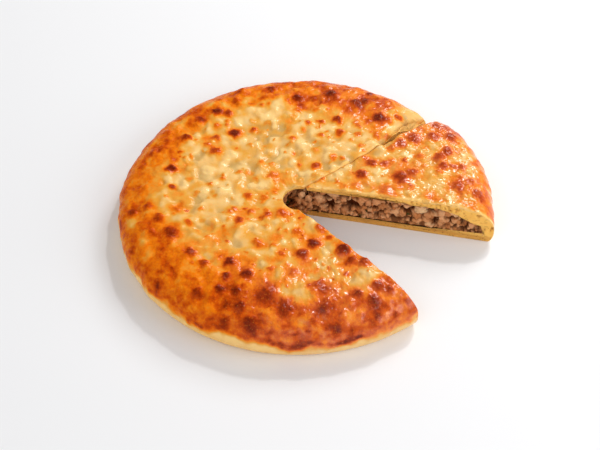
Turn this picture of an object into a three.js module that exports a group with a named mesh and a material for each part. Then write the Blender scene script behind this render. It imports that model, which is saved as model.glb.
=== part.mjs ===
// A round, flat meat pie with a wedge cut open and one slice drawn part of the way out of it.
// Millimetres, +Z up. The origin is on the underside, below the middle of the whole.
// Directions are in degrees from +X, and a depth is a distance in from the rim.

import * as THREE from 'three';

const { degToRad, lerp, smoothstep } = THREE.MathUtils;

// The pie's outline: a circle drawn out a little along one diameter
const PIE_CENTRE = new THREE.Vector2(-6.5, 0);
const PIE_RADIUS = 151;
const PIE_OVAL = 3.2;
const PIE_OVAL_DIRECTION = 7;

// The opening: two cuts that pass a worn hole near the middle, each at its offset from the hole's centre
const HOLE_CENTRE = new THREE.Vector2(-8.5, -6.8);
const HOLE_RADIUS = 11.5;
const HOLE_WIDENING = 4;
const HOLE_WIDENING_POWER = 4;
const NEAR_CUT_DIRECTION = 315;
const NEAR_CUT_OFFSET = 6.6;
const FAR_CUT_DIRECTION = 35.3;
const FAR_CUT_OFFSET = 8;
const FAR_CUT_BEND = 3;
const FAR_CUT_BEND_RANGE = [80, 150];
const FAR_CUT_LEAN = 9;

// The slice: its back cut lies along the pie's far cut, its front cut leans back towards the top,
// and the corner of its rim at the back cut is rounded
const SLICE_TIP = new THREE.Vector2(-2.9, 6.5);
const SLICE_FRONT_DIRECTION = -11.2;
const SLICE_BACK_DIRECTION = 35.3;
const SLICE_LENGTH = 161.5;
const SLICE_SKEW = 7;
const SLICE_CORNER_LOSS = 5;
const SLICE_CORNER_POWER = 9;
const SLICE_TIP_RADIUS = 3;
const SLICE_LEAN = 2.5;
const TIP_FADE = 40;
const CUT_FADE_POWER = 6;

// The crust's section: a rounded foot, a plump shoulder and a nearly flat top
const CRUST_HEIGHT = 36;
const RIM_WIDEST_HEIGHT = 13;
const FOOT_DEPTH = 5;
const SHOULDER_DEPTH = 42;
const SHOULDER_POWER = 2.5;
const MIDDLE_DIP = 1;

// The filling's section: level below, and sloping down towards the rim above
const FILLING_BASE = 5.5;
const FILLING_HEIGHT = 31.5;
const KNEE_DEPTH = PIE_RADIUS - FAR_CUT_BEND_RANGE[0];
const FILLING_SLOPE = [
  { depth: KNEE_DEPTH, height: 31.3 },
  { depth: SHOULDER_DEPTH, height: 30.5 },
  { depth: 30, height: 25.5 },
  { depth: 18, height: 18.5 },
  { depth: 8, height: 16.5 },
];
const FILLING_CLEARANCE = 0.7;
const FILLING_RECESS = 2;

// Relief: swells and blisters on the top, and lumps of meat on the filling's cut faces
const SWELL_HEIGHT = 0.9;
const SWELL_WIDTH = 26;
const BLISTER_COUNT = 110;
const BLISTER_RADIUS = [7, 12];
const BLISTER_HEIGHT = [0.7, 1.7];
const BLISTER_SPREAD_POWER = 0.4;
const RELIEF_START_DEPTH = 3;
const RELIEF_FULL_DEPTH = 16;
const LUMP_SIZE = 7.5;
const LUMP_DEPTH = 3;

// Seeds of the repeatable draws
const BLISTER_SEED = 5;
const SWELL_SEED = 11;
const PIE_LUMP_SEED = 21;
const SLICE_LUMP_SEED = 31;

// How finely the surfaces are divided
const PIE_STEPS = 80;
const SLICE_STEPS = 14;
const FOOT_STEPS = 3;
const SHOULDER_STEPS = 6;
const TOP_STEPS = 13;
const WALL_STEPS = 5;
const LUMP_STEP = 3.6;

// Plain finishes: a colour and a roughness each
const CRUST_FINISH = { color: 0xdc9a48, roughness: 0.45 };
const FILLING_FINISH = { color: 0x94705c, roughness: 0.7 };

/** A repeatable draw between 0 and 1 for three whole numbers. */
function draw(i, j, k) {
  const wave = Math.sin(i * 127.1 + j * 311.7 + k * 74.7) * 43758.5453;
  return wave - Math.floor(wave);
}

/** Smooth noise between -1 and 1, from draws at the corners of square cells. */
function noise(x, y, cell, seed) {
  const column = Math.floor(x / cell);
  const row = Math.floor(y / cell);
  const across = smoothstep(x / cell - column, 0, 1);
  const along = smoothstep(y / cell - row, 0, 1);
  const near = lerp(draw(column, row, seed), draw(column + 1, row, seed), across);
  const far = lerp(draw(column, row + 1, seed), draw(column + 1, row + 1, seed), across);
  return 2 * lerp(near, far, along) - 1;
}

/** Blisters scattered evenly over the disc that holds pie and slice, thicker towards the rim. */
const blisters = Array.from({ length: BLISTER_COUNT }, (_, i) => {
  const angle = 2 * Math.PI * draw(i, 1, BLISTER_SEED);
  const distance = (PIE_RADIUS - FOOT_DEPTH) * draw(i, 2, BLISTER_SEED) ** BLISTER_SPREAD_POWER;
  return {
    x: PIE_CENTRE.x + distance * Math.cos(angle),
    y: PIE_CENTRE.y + distance * Math.sin(angle),
    radius: lerp(...BLISTER_RADIUS, draw(i, 3, BLISTER_SEED)),
    height: lerp(...BLISTER_HEIGHT, draw(i, 4, BLISTER_SEED)),
  };
});

/** How far the top stands proud of its plain section at a place. */
function topRelief(x, y) {
  let height = SWELL_HEIGHT * noise(x, y, SWELL_WIDTH, SWELL_SEED);
  for (const blister of blisters) {
    const share = Math.hypot(x - blister.x, y - blister.y) / blister.radius;
    height += blister.height * (1 - smoothstep(share, 0, 1));
  }
  return height;
}

/** How far a cut face of the filling lies in from the cut: little on a lump of meat, more between lumps. */
function lumpDepth(r, z, seed) {
  const column = Math.floor(r / LUMP_SIZE);
  const row = Math.floor(z / LUMP_SIZE);
  let nearest = LUMP_SIZE;
  for (let i = column - 1; i <= column + 1; i += 1) {
    for (let j = row - 1; j <= row + 1; j += 1) {
      const lumpR = (i + draw(i, j, seed)) * LUMP_SIZE;
      const lumpZ = (j + draw(i, j, seed + 1)) * LUMP_SIZE;
      nearest = Math.min(nearest, Math.hypot(r - lumpR, z - lumpZ));
    }
  }
  return LUMP_DEPTH * smoothstep(nearest, 0, LUMP_SIZE);
}

/** Direction of the near cut at a distance from the hole's centre. */
function nearCut(r) {
  return NEAR_CUT_DIRECTION - THREE.MathUtils.radToDeg(Math.asin(NEAR_CUT_OFFSET / r));
}

/** Direction of the far cut at a distance from the hole's centre: straight, then bending from the slice. */
function farCut(r) {
  const straight = FAR_CUT_DIRECTION + THREE.MathUtils.radToDeg(Math.asin(FAR_CUT_OFFSET / r));
  return straight + FAR_CUT_BEND * smoothstep(r, ...FAR_CUT_BEND_RANGE);
}

/** Distance from the hole's centre to the pie's rim in a direction. */
function pieRim(direction) {
  const angle = degToRad(direction);
  const oval = PIE_OVAL * Math.cos(2 * degToRad(direction - PIE_OVAL_DIRECTION));
  const offCentre = PIE_CENTRE.clone().sub(HOLE_CENTRE);
  return PIE_RADIUS + oval + offCentre.x * Math.cos(angle) + offCentre.y * Math.sin(angle);
}

// A sector is swept by t from one cut, 0, to the other, 1. Its inner and outer give the distances of its
// hole or tip and of its rim from its origin, and lean gives how far its first cut leans in at a place.
const pieSector = {
  steps: PIE_STEPS,
  origin: HOLE_CENTRE,
  direction: (t, r) => lerp(farCut(r), nearCut(r), t),
  inner: (t) => HOLE_RADIUS + HOLE_WIDENING * (1 - t) ** HOLE_WIDENING_POWER,
  outer: (t) => pieRim(lerp(farCut(PIE_RADIUS), nearCut(PIE_RADIUS), t)),
  lean: (t, r, z) => (
    FAR_CUT_LEAN * (1 - t) ** CUT_FADE_POWER * smoothstep(r, ...FAR_CUT_BEND_RANGE) * (z / CRUST_HEIGHT)
  ),
};

const sliceSector = {
  steps: SLICE_STEPS,
  origin: SLICE_TIP,
  direction: (t) => lerp(SLICE_FRONT_DIRECTION, SLICE_BACK_DIRECTION, t),
  inner: () => SLICE_TIP_RADIUS,
  outer: (t) => SLICE_LENGTH + SLICE_SKEW * (0.5 - t) - SLICE_CORNER_LOSS * t ** SLICE_CORNER_POWER,
  lean: (t, r, z) => (
    SLICE_LEAN * (1 - t) ** CUT_FADE_POWER * smoothstep(r, 0, TIP_FADE) * (z / CRUST_HEIGHT)
  ),
};

/** The place of a point of a sector; shift moves it square to its ray, towards the cut at t = 1. */
function place(sector, t, r, z, shift = 0) {
  const angle = degToRad(sector.direction(t, r));
  const across = shift + sector.lean(t, r, z);
  const x = sector.origin.x + r * Math.cos(angle) - across * Math.sin(angle);
  const y = sector.origin.y + r * Math.sin(angle) + across * Math.cos(angle);
  return new THREE.Vector3(x, y, z);
}

/** One closed body, put together from rows of points that are joined by strips of triangles. */
class Body {
  positions = [];
  triangles = [];

  /** Adds a row of points and gives their numbers. */
  row(points) {
    const first = this.positions.length / 3;
    for (const point of points) {
      this.positions.push(point.x, point.y, point.z);
    }
    return points.map((_, i) => first + i);
  }

  point(number) {
    return new THREE.Vector3().fromArray(this.positions, 3 * number);
  }

  /** The share of a row's length that lies before each of its points. */
  shares(row) {
    const lengths = [0];
    for (let i = 1; i < row.length; i += 1) {
      lengths.push(lengths[i - 1] + this.point(row[i]).distanceTo(this.point(row[i - 1])));
    }
    return lengths.map((length) => length / lengths.at(-1));
  }

  /** Joins two rows, which may differ in number, keeping level along both. */
  strip(left, right) {
    const leftShares = this.shares(left);
    const rightShares = this.shares(right);
    let i = 0;
    let j = 0;
    while (i < left.length - 1 || j < right.length - 1) {
      const rightEnded = j === right.length - 1;
      if (rightEnded || (i < left.length - 1 && leftShares[i + 1] <= rightShares[j + 1])) {
        this.triangles.push(left[i], left[i + 1], right[j]);
        i += 1;
      } else {
        this.triangles.push(left[i], right[j + 1], right[j]);
        j += 1;
      }
    }
  }

  geometry() {
    const geometry = new THREE.BufferGeometry();
    geometry.setAttribute('position', new THREE.Float32BufferAttribute(this.positions, 3));
    geometry.setIndex(this.triangles);
    geometry.computeVertexNormals();
    return geometry;
  }
}

/** Height of the plain top at a depth: a rounded shoulder, then level with a slight dip in the middle. */
function topHeight(depth) {
  const rest = Math.max(0, 1 - depth / SHOULDER_DEPTH);
  const rise = (1 - rest ** SHOULDER_POWER) ** (1 / SHOULDER_POWER);
  const dip = MIDDLE_DIP * smoothstep(depth, SHOULDER_DEPTH, PIE_RADIUS);
  return RIM_WIDEST_HEIGHT + (CRUST_HEIGHT - RIM_WIDEST_HEIGHT) * rise - dip;
}

/** The crust's outside at t, from the underside's inner edge, round the rim, to the top's inner edge. */
function crustOutside(sector, t) {
  const inner = sector.inner(t);
  const outer = sector.outer(t);
  const points = [place(sector, t, inner, 0), place(sector, t, outer - KNEE_DEPTH, 0)];
  for (let i = 0; i <= FOOT_STEPS; i += 1) {
    const turn = (Math.PI / 2) * (i / FOOT_STEPS);
    const depth = FOOT_DEPTH * (1 - Math.sin(turn));
    points.push(place(sector, t, outer - depth, RIM_WIDEST_HEIGHT * (1 - Math.cos(turn))));
  }
  const depths = [];
  for (let i = 1; i <= SHOULDER_STEPS; i += 1) {
    depths.push(SHOULDER_DEPTH * (1 - Math.cos((Math.PI / 2) * (i / SHOULDER_STEPS))));
  }
  for (let i = 1; i <= TOP_STEPS; i += 1) {
    depths.push(lerp(SHOULDER_DEPTH, outer - inner, i / TOP_STEPS));
  }
  for (const depth of depths) {
    const point = place(sector, t, outer - depth, topHeight(depth));
    point.z += topRelief(point.x, point.y) * smoothstep(depth, RELIEF_START_DEPTH, RELIEF_FULL_DEPTH);
    points.push(point);
  }
  return points;
}

/** The corners of the filling's section at t, as distance and height, drawn in by an inset. */
function fillingSection(sector, t, inset) {
  const inner = sector.inner(t);
  const outer = sector.outer(t);
  const end = outer - FILLING_SLOPE.at(-1).depth - inset;
  const top = FILLING_SLOPE.map(({ depth, height }) => ({ r: outer - depth, z: height - inset }));
  top.at(-1).r = end;
  return { inner, end, base: FILLING_BASE + inset, top: [{ r: inner, z: FILLING_HEIGHT - inset }, ...top] };
}

/** The crust's hollow at t, from the underside's inner edge, round the filling, to the top's inner edge. */
function crustHollow(sector, t) {
  const section = fillingSection(sector, t, 0);
  const floorEnds = [section.inner, section.top[1].r, section.end];
  const floor = floorEnds.map((r) => place(sector, t, r, section.base));
  const roof = section.top.map(({ r, z }) => place(sector, t, r, z));
  return [...floor, ...roof.reverse()];
}

/** The stretches of a row between the given breaks, which neighbours share. */
function stretches(row, breaks) {
  const ends = [...breaks, row.length - 1];
  return ends.map((end, i) => row.slice(i === 0 ? 0 : ends[i - 1], end + 1));
}

// Where the floor, the rim and the roof part in the rows of the outside and of the hollow
const OUTSIDE_BREAKS = [2, 2 + FOOT_STEPS + SHOULDER_STEPS];
const HOLLOW_BREAKS = [2, 2 + FILLING_SLOPE.length - 1];

/** The crust of a sector: its outside and its hollow are swept from cut to cut and joined at both cuts. */
function crustGeometry(sector) {
  const body = new Body();
  const outsides = [];
  const hollows = [];
  for (let i = 0; i <= sector.steps; i += 1) {
    outsides.push(body.row(crustOutside(sector, i / sector.steps)));
    hollows.push(body.row(crustHollow(sector, i / sector.steps)));
  }
  for (let i = 0; i < sector.steps; i += 1) {
    body.strip(outsides[i + 1], outsides[i]);
    body.strip(hollows[i], hollows[i + 1]);
    body.strip([hollows[i][0], hollows[i + 1][0]], [outsides[i][0], outsides[i + 1][0]]);
    body.strip([outsides[i].at(-1), outsides[i + 1].at(-1)], [hollows[i].at(-1), hollows[i + 1].at(-1)]);
  }
  const joinCut = (left, right) => left.forEach((stretch, i) => body.strip(stretch, right[i]));
  joinCut(stretches(outsides[0], OUTSIDE_BREAKS), stretches(hollows[0], HOLLOW_BREAKS));
  joinCut(stretches(hollows.at(-1), HOLLOW_BREAKS), stretches(outsides.at(-1), OUTSIDE_BREAKS));
  return body.geometry();
}

/** Distances along a row of section corners, with each stretch divided into steps of about the given size. */
function divided(corners, step) {
  const points = [corners[0]];
  for (let i = 1; i < corners.length; i += 1) {
    const from = corners[i - 1];
    const to = corners[i];
    const parts = Math.max(1, Math.ceil((to.r - from.r) / step));
    for (let part = 1; part <= parts; part += 1) {
      points.push({ r: lerp(from.r, to.r, part / parts), z: lerp(from.z, to.z, part / parts) });
    }
  }
  return points;
}

/** Columns of points over the filling's section at t, each from its base to its top. */
function fillingColumns(sector, t, step, shiftAt) {
  const section = fillingSection(sector, t, FILLING_CLEARANCE);
  const recessed = [{ r: section.inner + FILLING_RECESS, z: section.top[0].z }, ...section.top.slice(1)];
  const corners = divided(recessed, step);
  return corners.map(({ r, z }, index) => {
    const isEnd = index === 0 || index === corners.length - 1;
    const parts = isEnd || step < Infinity ? WALL_STEPS : 1;
    const column = [];
    for (let i = 0; i <= parts; i += 1) {
      const height = lerp(section.base, z, i / parts);
      column.push(place(sector, t, r, height, shiftAt(r, height)));
    }
    return column;
  });
}

/** The edges of a grid of columns: its base, its outer end, its top and its inner end, each as a row. */
function gridEdges(columns) {
  return [
    columns.map((column) => column[0]),
    columns.at(-1),
    columns.map((column) => column.at(-1)).reverse(),
    [...columns[0]].reverse(),
  ];
}

/** The filling of a sector: lumpy cut faces, joined by plain surfaces that follow the crust's hollow. */
function fillingGeometry(sector, seed) {
  const body = new Body();
  const numbers = (columns) => columns.map((column) => body.row(column));
  const lumpAt = (r, z) => FILLING_RECESS / 2 + lumpDepth(r, z, seed);
  const fade = (r) => smoothstep(r, 0, TIP_FADE);
  const first = numbers(fillingColumns(sector, 0, LUMP_STEP, (r, z) => fade(r) * lumpAt(r, z)));
  const last = numbers(fillingColumns(sector, 1, LUMP_STEP, (r, z) => -fade(r) * lumpAt(r, z)));
  const sweeps = [gridEdges(first)];
  for (let i = 1; i < sector.steps; i += 1) {
    const columns = numbers(fillingColumns(sector, i / sector.steps, Infinity, () => 0));
    sweeps.push(gridEdges(columns));
  }
  sweeps.push(gridEdges(last));
  for (let i = 0; i < sector.steps; i += 1) {
    sweeps[i].forEach((edge, side) => body.strip(sweeps[i + 1][side], edge));
  }
  for (let i = 1; i < first.length; i += 1) {
    body.strip(first[i], first[i - 1]);
  }
  for (let i = 1; i < last.length; i += 1) {
    body.strip(last[i - 1], last[i]);
  }
  return body.geometry();
}

/** A named mesh with its own plain material. */
function named(name, geometry, finish) {
  const mesh = new THREE.Mesh(geometry, new THREE.MeshStandardMaterial({ ...finish, metalness: 0 }));
  mesh.name = name;
  return mesh;
}

const pie = new THREE.Group();
pie.add(
  named('pie_crust', crustGeometry(pieSector), CRUST_FINISH),
  named('pie_filling', fillingGeometry(pieSector, PIE_LUMP_SEED), FILLING_FINISH),
);

const slice = new THREE.Group();
slice.add(
  named('slice_crust', crustGeometry(sliceSector), CRUST_FINISH),
  named('slice_filling', fillingGeometry(sliceSector, SLICE_LUMP_SEED), FILLING_FINISH),
);

const meatPie = new THREE.Group();
meatPie.add(pie, slice);

export default meatPie;
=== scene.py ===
"""Looks of a round, flat meat pie with a slice drawn part of the way out, around a fixed frame.

Lengths are in metres, directions in degrees from +X, and a depth is a distance in from the rim.
The outline, the cuts and the section repeat the frame's, and the fine relief is worked out on top of them.
A layer of noise is given by its weight, its size and its seed, and a range by its two ends.
"""

import bpy
import numpy as np
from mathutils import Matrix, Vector


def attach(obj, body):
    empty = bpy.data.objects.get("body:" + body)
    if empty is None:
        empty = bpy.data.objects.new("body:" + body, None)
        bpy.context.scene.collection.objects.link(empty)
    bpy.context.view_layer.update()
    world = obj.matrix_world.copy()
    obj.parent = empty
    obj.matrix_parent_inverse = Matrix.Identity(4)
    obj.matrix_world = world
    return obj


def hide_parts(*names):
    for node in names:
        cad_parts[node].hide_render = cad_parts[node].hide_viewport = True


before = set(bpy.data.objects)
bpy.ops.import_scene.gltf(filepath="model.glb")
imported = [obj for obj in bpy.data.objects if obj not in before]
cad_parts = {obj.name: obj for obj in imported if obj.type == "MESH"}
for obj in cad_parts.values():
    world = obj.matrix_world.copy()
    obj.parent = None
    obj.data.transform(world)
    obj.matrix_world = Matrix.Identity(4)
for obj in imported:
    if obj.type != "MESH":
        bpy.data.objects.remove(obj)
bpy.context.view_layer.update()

bl_info = {
    "name": "Meat Pie",
    "version": (1, 0, 0),
    "blender": (4, 5, 0),
    "location": "View3D > Sidebar > Meat Pie",
    "description": "Builds the crusts, the fillings and the stage of a cut meat pie around its frame",
    "category": "Add Mesh",
}

BODY = "root"
MM = 0.001

# The pie's outline: a circle drawn out a little along one diameter
PIE_CENTRE = np.array([-6.5, 0.0]) * MM
PIE_RADIUS = 151 * MM
PIE_OVAL = 3.2 * MM
PIE_OVAL_DIRECTION = 7

# The opening: two cuts that pass a worn hole near the middle, each at its offset from the hole's centre
HOLE_CENTRE = np.array([-8.5, -6.8]) * MM
HOLE_RADIUS = 11.5 * MM
HOLE_WIDENING = 4 * MM
HOLE_WIDENING_POWER = 4
NEAR_CUT_DIRECTION = 315
NEAR_CUT_OFFSET = 6.6 * MM
FAR_CUT_DIRECTION = 35.3
FAR_CUT_OFFSET = 8 * MM
FAR_CUT_BEND = 3
FAR_CUT_BEND_RANGE = (80 * MM, 150 * MM)
FAR_CUT_LEAN = 9 * MM

# The slice: its back cut lies along the pie's far cut, and its front cut leans back towards the top
SLICE_TIP = np.array([-2.9, 6.5]) * MM
SLICE_FRONT_DIRECTION = -11.2
SLICE_BACK_DIRECTION = 35.3
SLICE_LENGTH = 161.5 * MM
SLICE_SKEW = 7 * MM
SLICE_CORNER_LOSS = 5 * MM
SLICE_CORNER_POWER = 9
SLICE_TIP_RADIUS = 3 * MM
SLICE_LEAN = 2.5 * MM
SLICE_FINENESS = 0.6
TIP_FADE = 40 * MM
CUT_FADE_POWER = 6

# The crust's section: a rounded foot, a plump shoulder and a nearly flat top
CRUST_HEIGHT = 36 * MM
RIM_WIDEST_HEIGHT = 13 * MM
FOOT_DEPTH = 5 * MM
FOOT_LENGTH = 15 * MM
SHOULDER_DEPTH = 42 * MM
SHOULDER_POWER = 2.5
SHOULDER_LENGTH = 1.2 * SHOULDER_DEPTH
MIDDLE_DIP = 1 * MM

# The skin's edge at a cut: rounded and pale, wider along the far cut near the rim, where the paleness is
# partly stretched skin and partly painted light and sheen on a cut that the slice shades
EDGE_WIDTH = 1.8 * MM
EDGE_DROP = 0.6
FAR_EDGE_WIDTH = 18 * MM
FAR_PALE_WIDTH = (2 * MM, 28 * MM)
SLICE_PALE_WIDTH = 6 * MM

# The filling's section: level below, and sloping down towards the rim above, as depths and heights
FILLING_BASE = 5.5 * MM
FILLING_HEIGHT = 31.5 * MM
KNEE_DEPTH = PIE_RADIUS - FAR_CUT_BEND_RANGE[0]
SLOPE_DEPTHS = np.array([71, 42, 30, 18, 8]) * MM
SLOPE_HEIGHTS = np.array([31.3, 30.5, 25.5, 18.5, 16.5]) * MM
FILLING_CLEARANCE = 0.7 * MM
FILLING_RECESS = 2 * MM

# Broad and soft swells of the frame's top: seeded draws of their places, radii and heights
SWELL_WIDTH = 26 * MM
SWELL_SEED = 11
SWELL_COUNT = 110
SWELL_DRAW_SEED = 5
SWELL_SPREAD_POWER = 0.4
SWELL_RADIUS = (7 * MM, 12 * MM)
SWELL_RISE = (0.7 * MM, 1.7 * MM)

# The camera that the picture was taken with, in the part's frame
PICTURE_SIZE = (600, 450)
SENSOR_WIDTH = 36.0
LENS = 100.0
CAMERA_TARGET = np.array([-5.6, -6.0, 0.0]) * MM
CAMERA_DISTANCE = 1438 * MM
CAMERA_ELEVATION = 49.57
LEVEL_ROUNDS = 8

# Blisters that stand out on the pie: where each shows in the picture, radius in millimetres, darkness
PIE_BLISTERS = (
    (217, 112, 4.6, 1.0), (228, 113, 4.0, 0.8), (202, 119, 4.3, 0.8), (217, 125, 3.4, 0.6),
    (237, 100, 3.4, 0.6), (271, 88, 4.5, 0.9), (297, 97, 4.3, 0.9), (314, 97, 3.4, 0.6),
    (331, 94, 5.2, 1.0), (357, 103, 5.6, 0.9), (365, 101, 4.2, 0.8), (370, 94, 3.4, 0.9),
    (380, 119, 7.0, 1.0), (368, 120, 4.8, 0.6), (399, 116, 3.4, 0.8), (391, 135, 5.0, 0.8),
    (376, 136, 3.4, 0.6), (235, 133, 5.5, 1.0), (253, 129, 3.2, 0.8), (216, 138, 3.6, 0.7),
    (216, 151, 5.0, 0.8), (250, 145, 2.3, 0.5), (188, 138, 4.2, 0.9), (171, 169, 4.4, 1.0),
    (172, 187, 3.4, 0.8), (269, 104, 2.3, 0.5), (268, 123, 3.2, 0.4), (298, 110, 2.8, 0.5),
    (316, 110, 3.2, 0.5), (307, 124, 3.2, 0.7), (320, 122, 3.2, 0.8), (338, 121, 4.8, 0.9),
    (340, 132, 3.8, 0.7), (321, 135, 3.2, 0.6), (357, 135, 3.2, 0.6), (356, 123, 3.0, 0.5),
    (316, 150, 4.0, 0.4), (333, 158, 4.0, 0.6), (316, 166, 4.0, 0.8), (148, 206, 3.6, 0.7),
    (133, 211, 4.4, 0.7), (159, 218, 5.0, 0.7), (170, 233, 6.6, 0.8), (189, 223, 3.4, 0.7),
    (177, 210, 3.0, 0.5), (201, 209, 2.6, 0.5), (197, 194, 2.2, 0.4), (248, 196, 4.4, 0.7),
    (264, 198, 3.6, 0.5), (273, 175, 4.2, 0.4), (251, 212, 3.4, 0.6), (239, 221, 4.4, 0.8),
    (266, 215, 3.4, 0.7), (283, 215, 5.0, 0.6), (297, 231, 4.2, 0.6), (258, 243, 4.4, 0.6),
    (273, 247, 2.6, 0.5), (314, 243, 5.6, 1.0), (302, 254, 5.0, 0.9), (281, 254, 3.0, 0.5),
    (270, 269, 3.0, 0.6), (293, 273, 5.0, 0.6), (320, 229, 4.2, 0.7), (329, 237, 2.6, 0.7),
    (228, 262, 5.2, 1.0), (247, 274, 5.2, 1.0), (226, 276, 3.8, 0.9), (220, 289, 4.4, 1.0),
    (204, 263, 4.4, 0.8), (191, 253, 5.0, 0.8), (198, 292, 4.4, 0.8), (236, 290, 3.4, 0.8),
    (263, 296, 8.0, 0.8), (239, 306, 4.2, 0.9), (250, 324, 7.8, 0.9), (285, 310, 7.0, 0.8),
    (226, 323, 4.4, 0.7), (208, 326, 5.0, 0.6), (297, 346, 7.0, 0.8), (319, 283, 5.0, 0.7),
    (324, 290, 5.0, 0.7), (324, 310, 5.0, 0.8), (336, 328, 5.0, 0.8), (343, 250, 6.0, 1.0),
    (352, 261, 5.0, 0.8), (365, 263, 5.0, 0.8), (378, 286, 4.4, 0.75), (358, 294, 3.6, 0.8),
    (390, 291, 4.4, 0.7), (373, 301, 5.2, 0.75),
)

# The same on the slice
SLICE_BLISTERS = (
    (361, 175, 5.6, 0.8), (401, 178, 7.6, 0.85), (411, 174, 6.0, 0.75), (387, 192, 8.5, 0.5),
    (397, 187, 5.0, 0.4), (372, 164, 4.6, 0.8), (384, 164, 4.8, 0.65), (391, 160, 3.6, 0.4),
    (413, 139, 6.5, 0.75), (401, 145, 6.5, 0.75), (392, 149, 4.5, 0.6), (405, 160, 2.6, 0.6),
    (440, 157, 6.0, 0.75), (447, 152, 5.0, 0.7), (443, 166, 4.4, 0.7), (452, 167, 3.4, 0.65),
    (434, 137, 6.0, 0.7), (450, 136, 5.6, 0.7), (478, 196, 6.0, 0.7), (457, 185, 7.0, 0.6),
    (420, 157, 5.0, 0.5), (426, 148, 4.0, 0.4), (343, 188, 5.0, 0.4), (463, 168, 4.0, 0.55),
    (470, 183, 5.0, 0.55), (426, 196, 5.0, 0.35), (355, 187, 5.0, 0.3),
)

# Pale, glossy patches between the blisters, their paleness partly pale skin and partly a painted sheen:
# where each shows in the picture, its radius in millimetres
PIE_PATCHES = (
    (369, 275, 13), (359, 281, 10), (332, 250, 5), (285, 292, 9), (302, 295, 10), (238, 244, 12),
    (322, 264, 7), (312, 277, 6), (272, 254, 5), (283, 241, 5), (281, 128, 5), (281, 143, 5),
    (250, 120, 7), (401, 127, 9),
)
SLICE_PATCHES = ((430, 150, 10), (384, 172, 5), (452, 197, 7), (470, 172, 10), (466, 155, 9))

# Lumps that stand out on the slice's front cut: where each shows, radius, tone, and 1 for a herb
FRONT_LUMPS = (
    (420, 213, 5.4, 1.0, 0), (318, 200, 4.8, 0.75, 0), (333, 198, 4.2, 0.8, 0), (343, 202, 3.6, 0.6, 0),
    (376, 205, 4.4, 0.6, 0), (394, 215, 5.0, 0.8, 0), (441, 216, 4.2, 0.7, 0), (454, 216, 4.6, 0.8, 0),
    (428, 226, 3.8, 0.85, 0), (361, 203, 3.6, 0.5, 0), (348, 198, 1.7, 0.0, 1), (367, 213, 1.4, 0.0, 1),
    (407, 216, 2.0, 0.0, 1),
)
FRONT_LUMP_REACH = 0.3 * MM

# Lumps that stick out at the slice's tip, in millimetres: place, radius and tone
TIP_LUMPS = (
    (-4.0, 6.0, 25.5, 3.2, 0.75), (-6.5, 4.8, 20.0, 3.4, 0.45), (-2.5, 4.6, 18.5, 3.8, 0.4),
    (-7.4, 5.4, 14.5, 3.2, 0.3), (-4.2, 4.2, 12.5, 3.4, 0.5), (-1.0, 4.0, 9.8, 3.0, 0.35),
    (-5.6, 6.6, 9.6, 2.8, 0.3), (1.4, 4.0, 23.0, 3.4, 0.6), (2.2, 4.0, 14.5, 3.6, 0.5),
)
TIP_PHASE = 1.7

# Noise: steps and scale of the repeatable draws, and how a cloud's layers turn, shrink and spread
DRAW_STEPS = (127.1, 311.7, 74.7)
DRAW_SCALE = 43758.5453
CLOUD_LAYERS = 3
CLOUD_TURN = 2.0
CLOUD_SHRINK = 0.8
CLOUD_SPREAD = 1.7


def smoothstep(x, low, high):
    """An even rise from 0 at low to 1 at high: three squares less two cubes of the share between them."""
    share = np.clip((x - low) / (high - low), 0, 1)
    return share * share * (3 - 2 * share)


def lerp(start, end, share):
    """The value that lies a share of the way from start to end."""
    return start + (end - start) * share


def draw(i, j, k):
    """Repeatable draws between 0 and 1 for whole numbers: the fraction of a large, fast sine wave."""
    wave = np.sin(i * DRAW_STEPS[0] + j * DRAW_STEPS[1] + k * DRAW_STEPS[2]) * DRAW_SCALE
    return wave - np.floor(wave)


def noise(x, y, cell, seed):
    """Smooth noise between -1 and 1: draws at the corners of square cells, blended by smoothstep."""
    column = np.floor(x / cell)
    row = np.floor(y / cell)
    across = smoothstep(x / cell - column, 0, 1)
    along = smoothstep(y / cell - row, 0, 1)
    near = lerp(draw(column, row, seed), draw(column + 1, row, seed), across)
    far = lerp(draw(column, row + 1, seed), draw(column + 1, row + 1, seed), across)
    return 2 * lerp(near, far, along) - 1


def cloud(x, y, size, seed):
    """Smooth noise about 0 that follows no axis: layers, each turned and a little finer, averaged."""
    total = np.zeros_like(x)
    for layer in range(CLOUD_LAYERS):
        turn = seed + CLOUD_TURN * layer
        u = x * np.cos(turn) - y * np.sin(turn)
        v = x * np.sin(turn) + y * np.cos(turn)
        total += noise(u, v, size * CLOUD_SHRINK**layer, seed + layer)
    return total / CLOUD_SPREAD


def layered(x, y, layers):
    """Clouds added up, each by its weight."""
    return sum(weight * cloud(x, y, size, seed) for weight, size, seed in layers)


def run_lengths(points):
    """The length of a row of points up to each of them."""
    return np.concatenate([[0], np.cumsum(np.linalg.norm(np.diff(points, axis=0), axis=1))])


class Sector:
    """A part of the round pie, swept by t from one cut, 0, to the other, 1, about its origin.

    Its pores and crumb are shares for the first and the last cut, and its sheen is a share of the gloss."""

    def place(self, t, r, z, shift=0.0):
        """Points at distance r along the ray of t, at height z, moved square to it by shift and lean."""
        angle = np.radians(self.direction(t, r))
        across = shift + self.lean(t, r, z)
        x = self.origin[0] + r * np.cos(angle) - across * np.sin(angle)
        y = self.origin[1] + r * np.sin(angle) + across * np.cos(angle)
        return np.stack(np.broadcast_arrays(x, y, z), axis=-1)

    def sweep(self, r):
        """The angle from the first cut to the last at a distance, in radians."""
        return np.radians(self.direction(1.0, r) - self.direction(0.0, r))

    def depth(self, x, y):
        """Distance in from the rim of a place on the top."""
        reach = np.stack([x, y], axis=-1) - self.origin
        direction = np.degrees(np.arctan2(reach[..., 1], reach[..., 0]))
        return self.rim(direction) - np.hypot(reach[..., 0], reach[..., 1])


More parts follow.
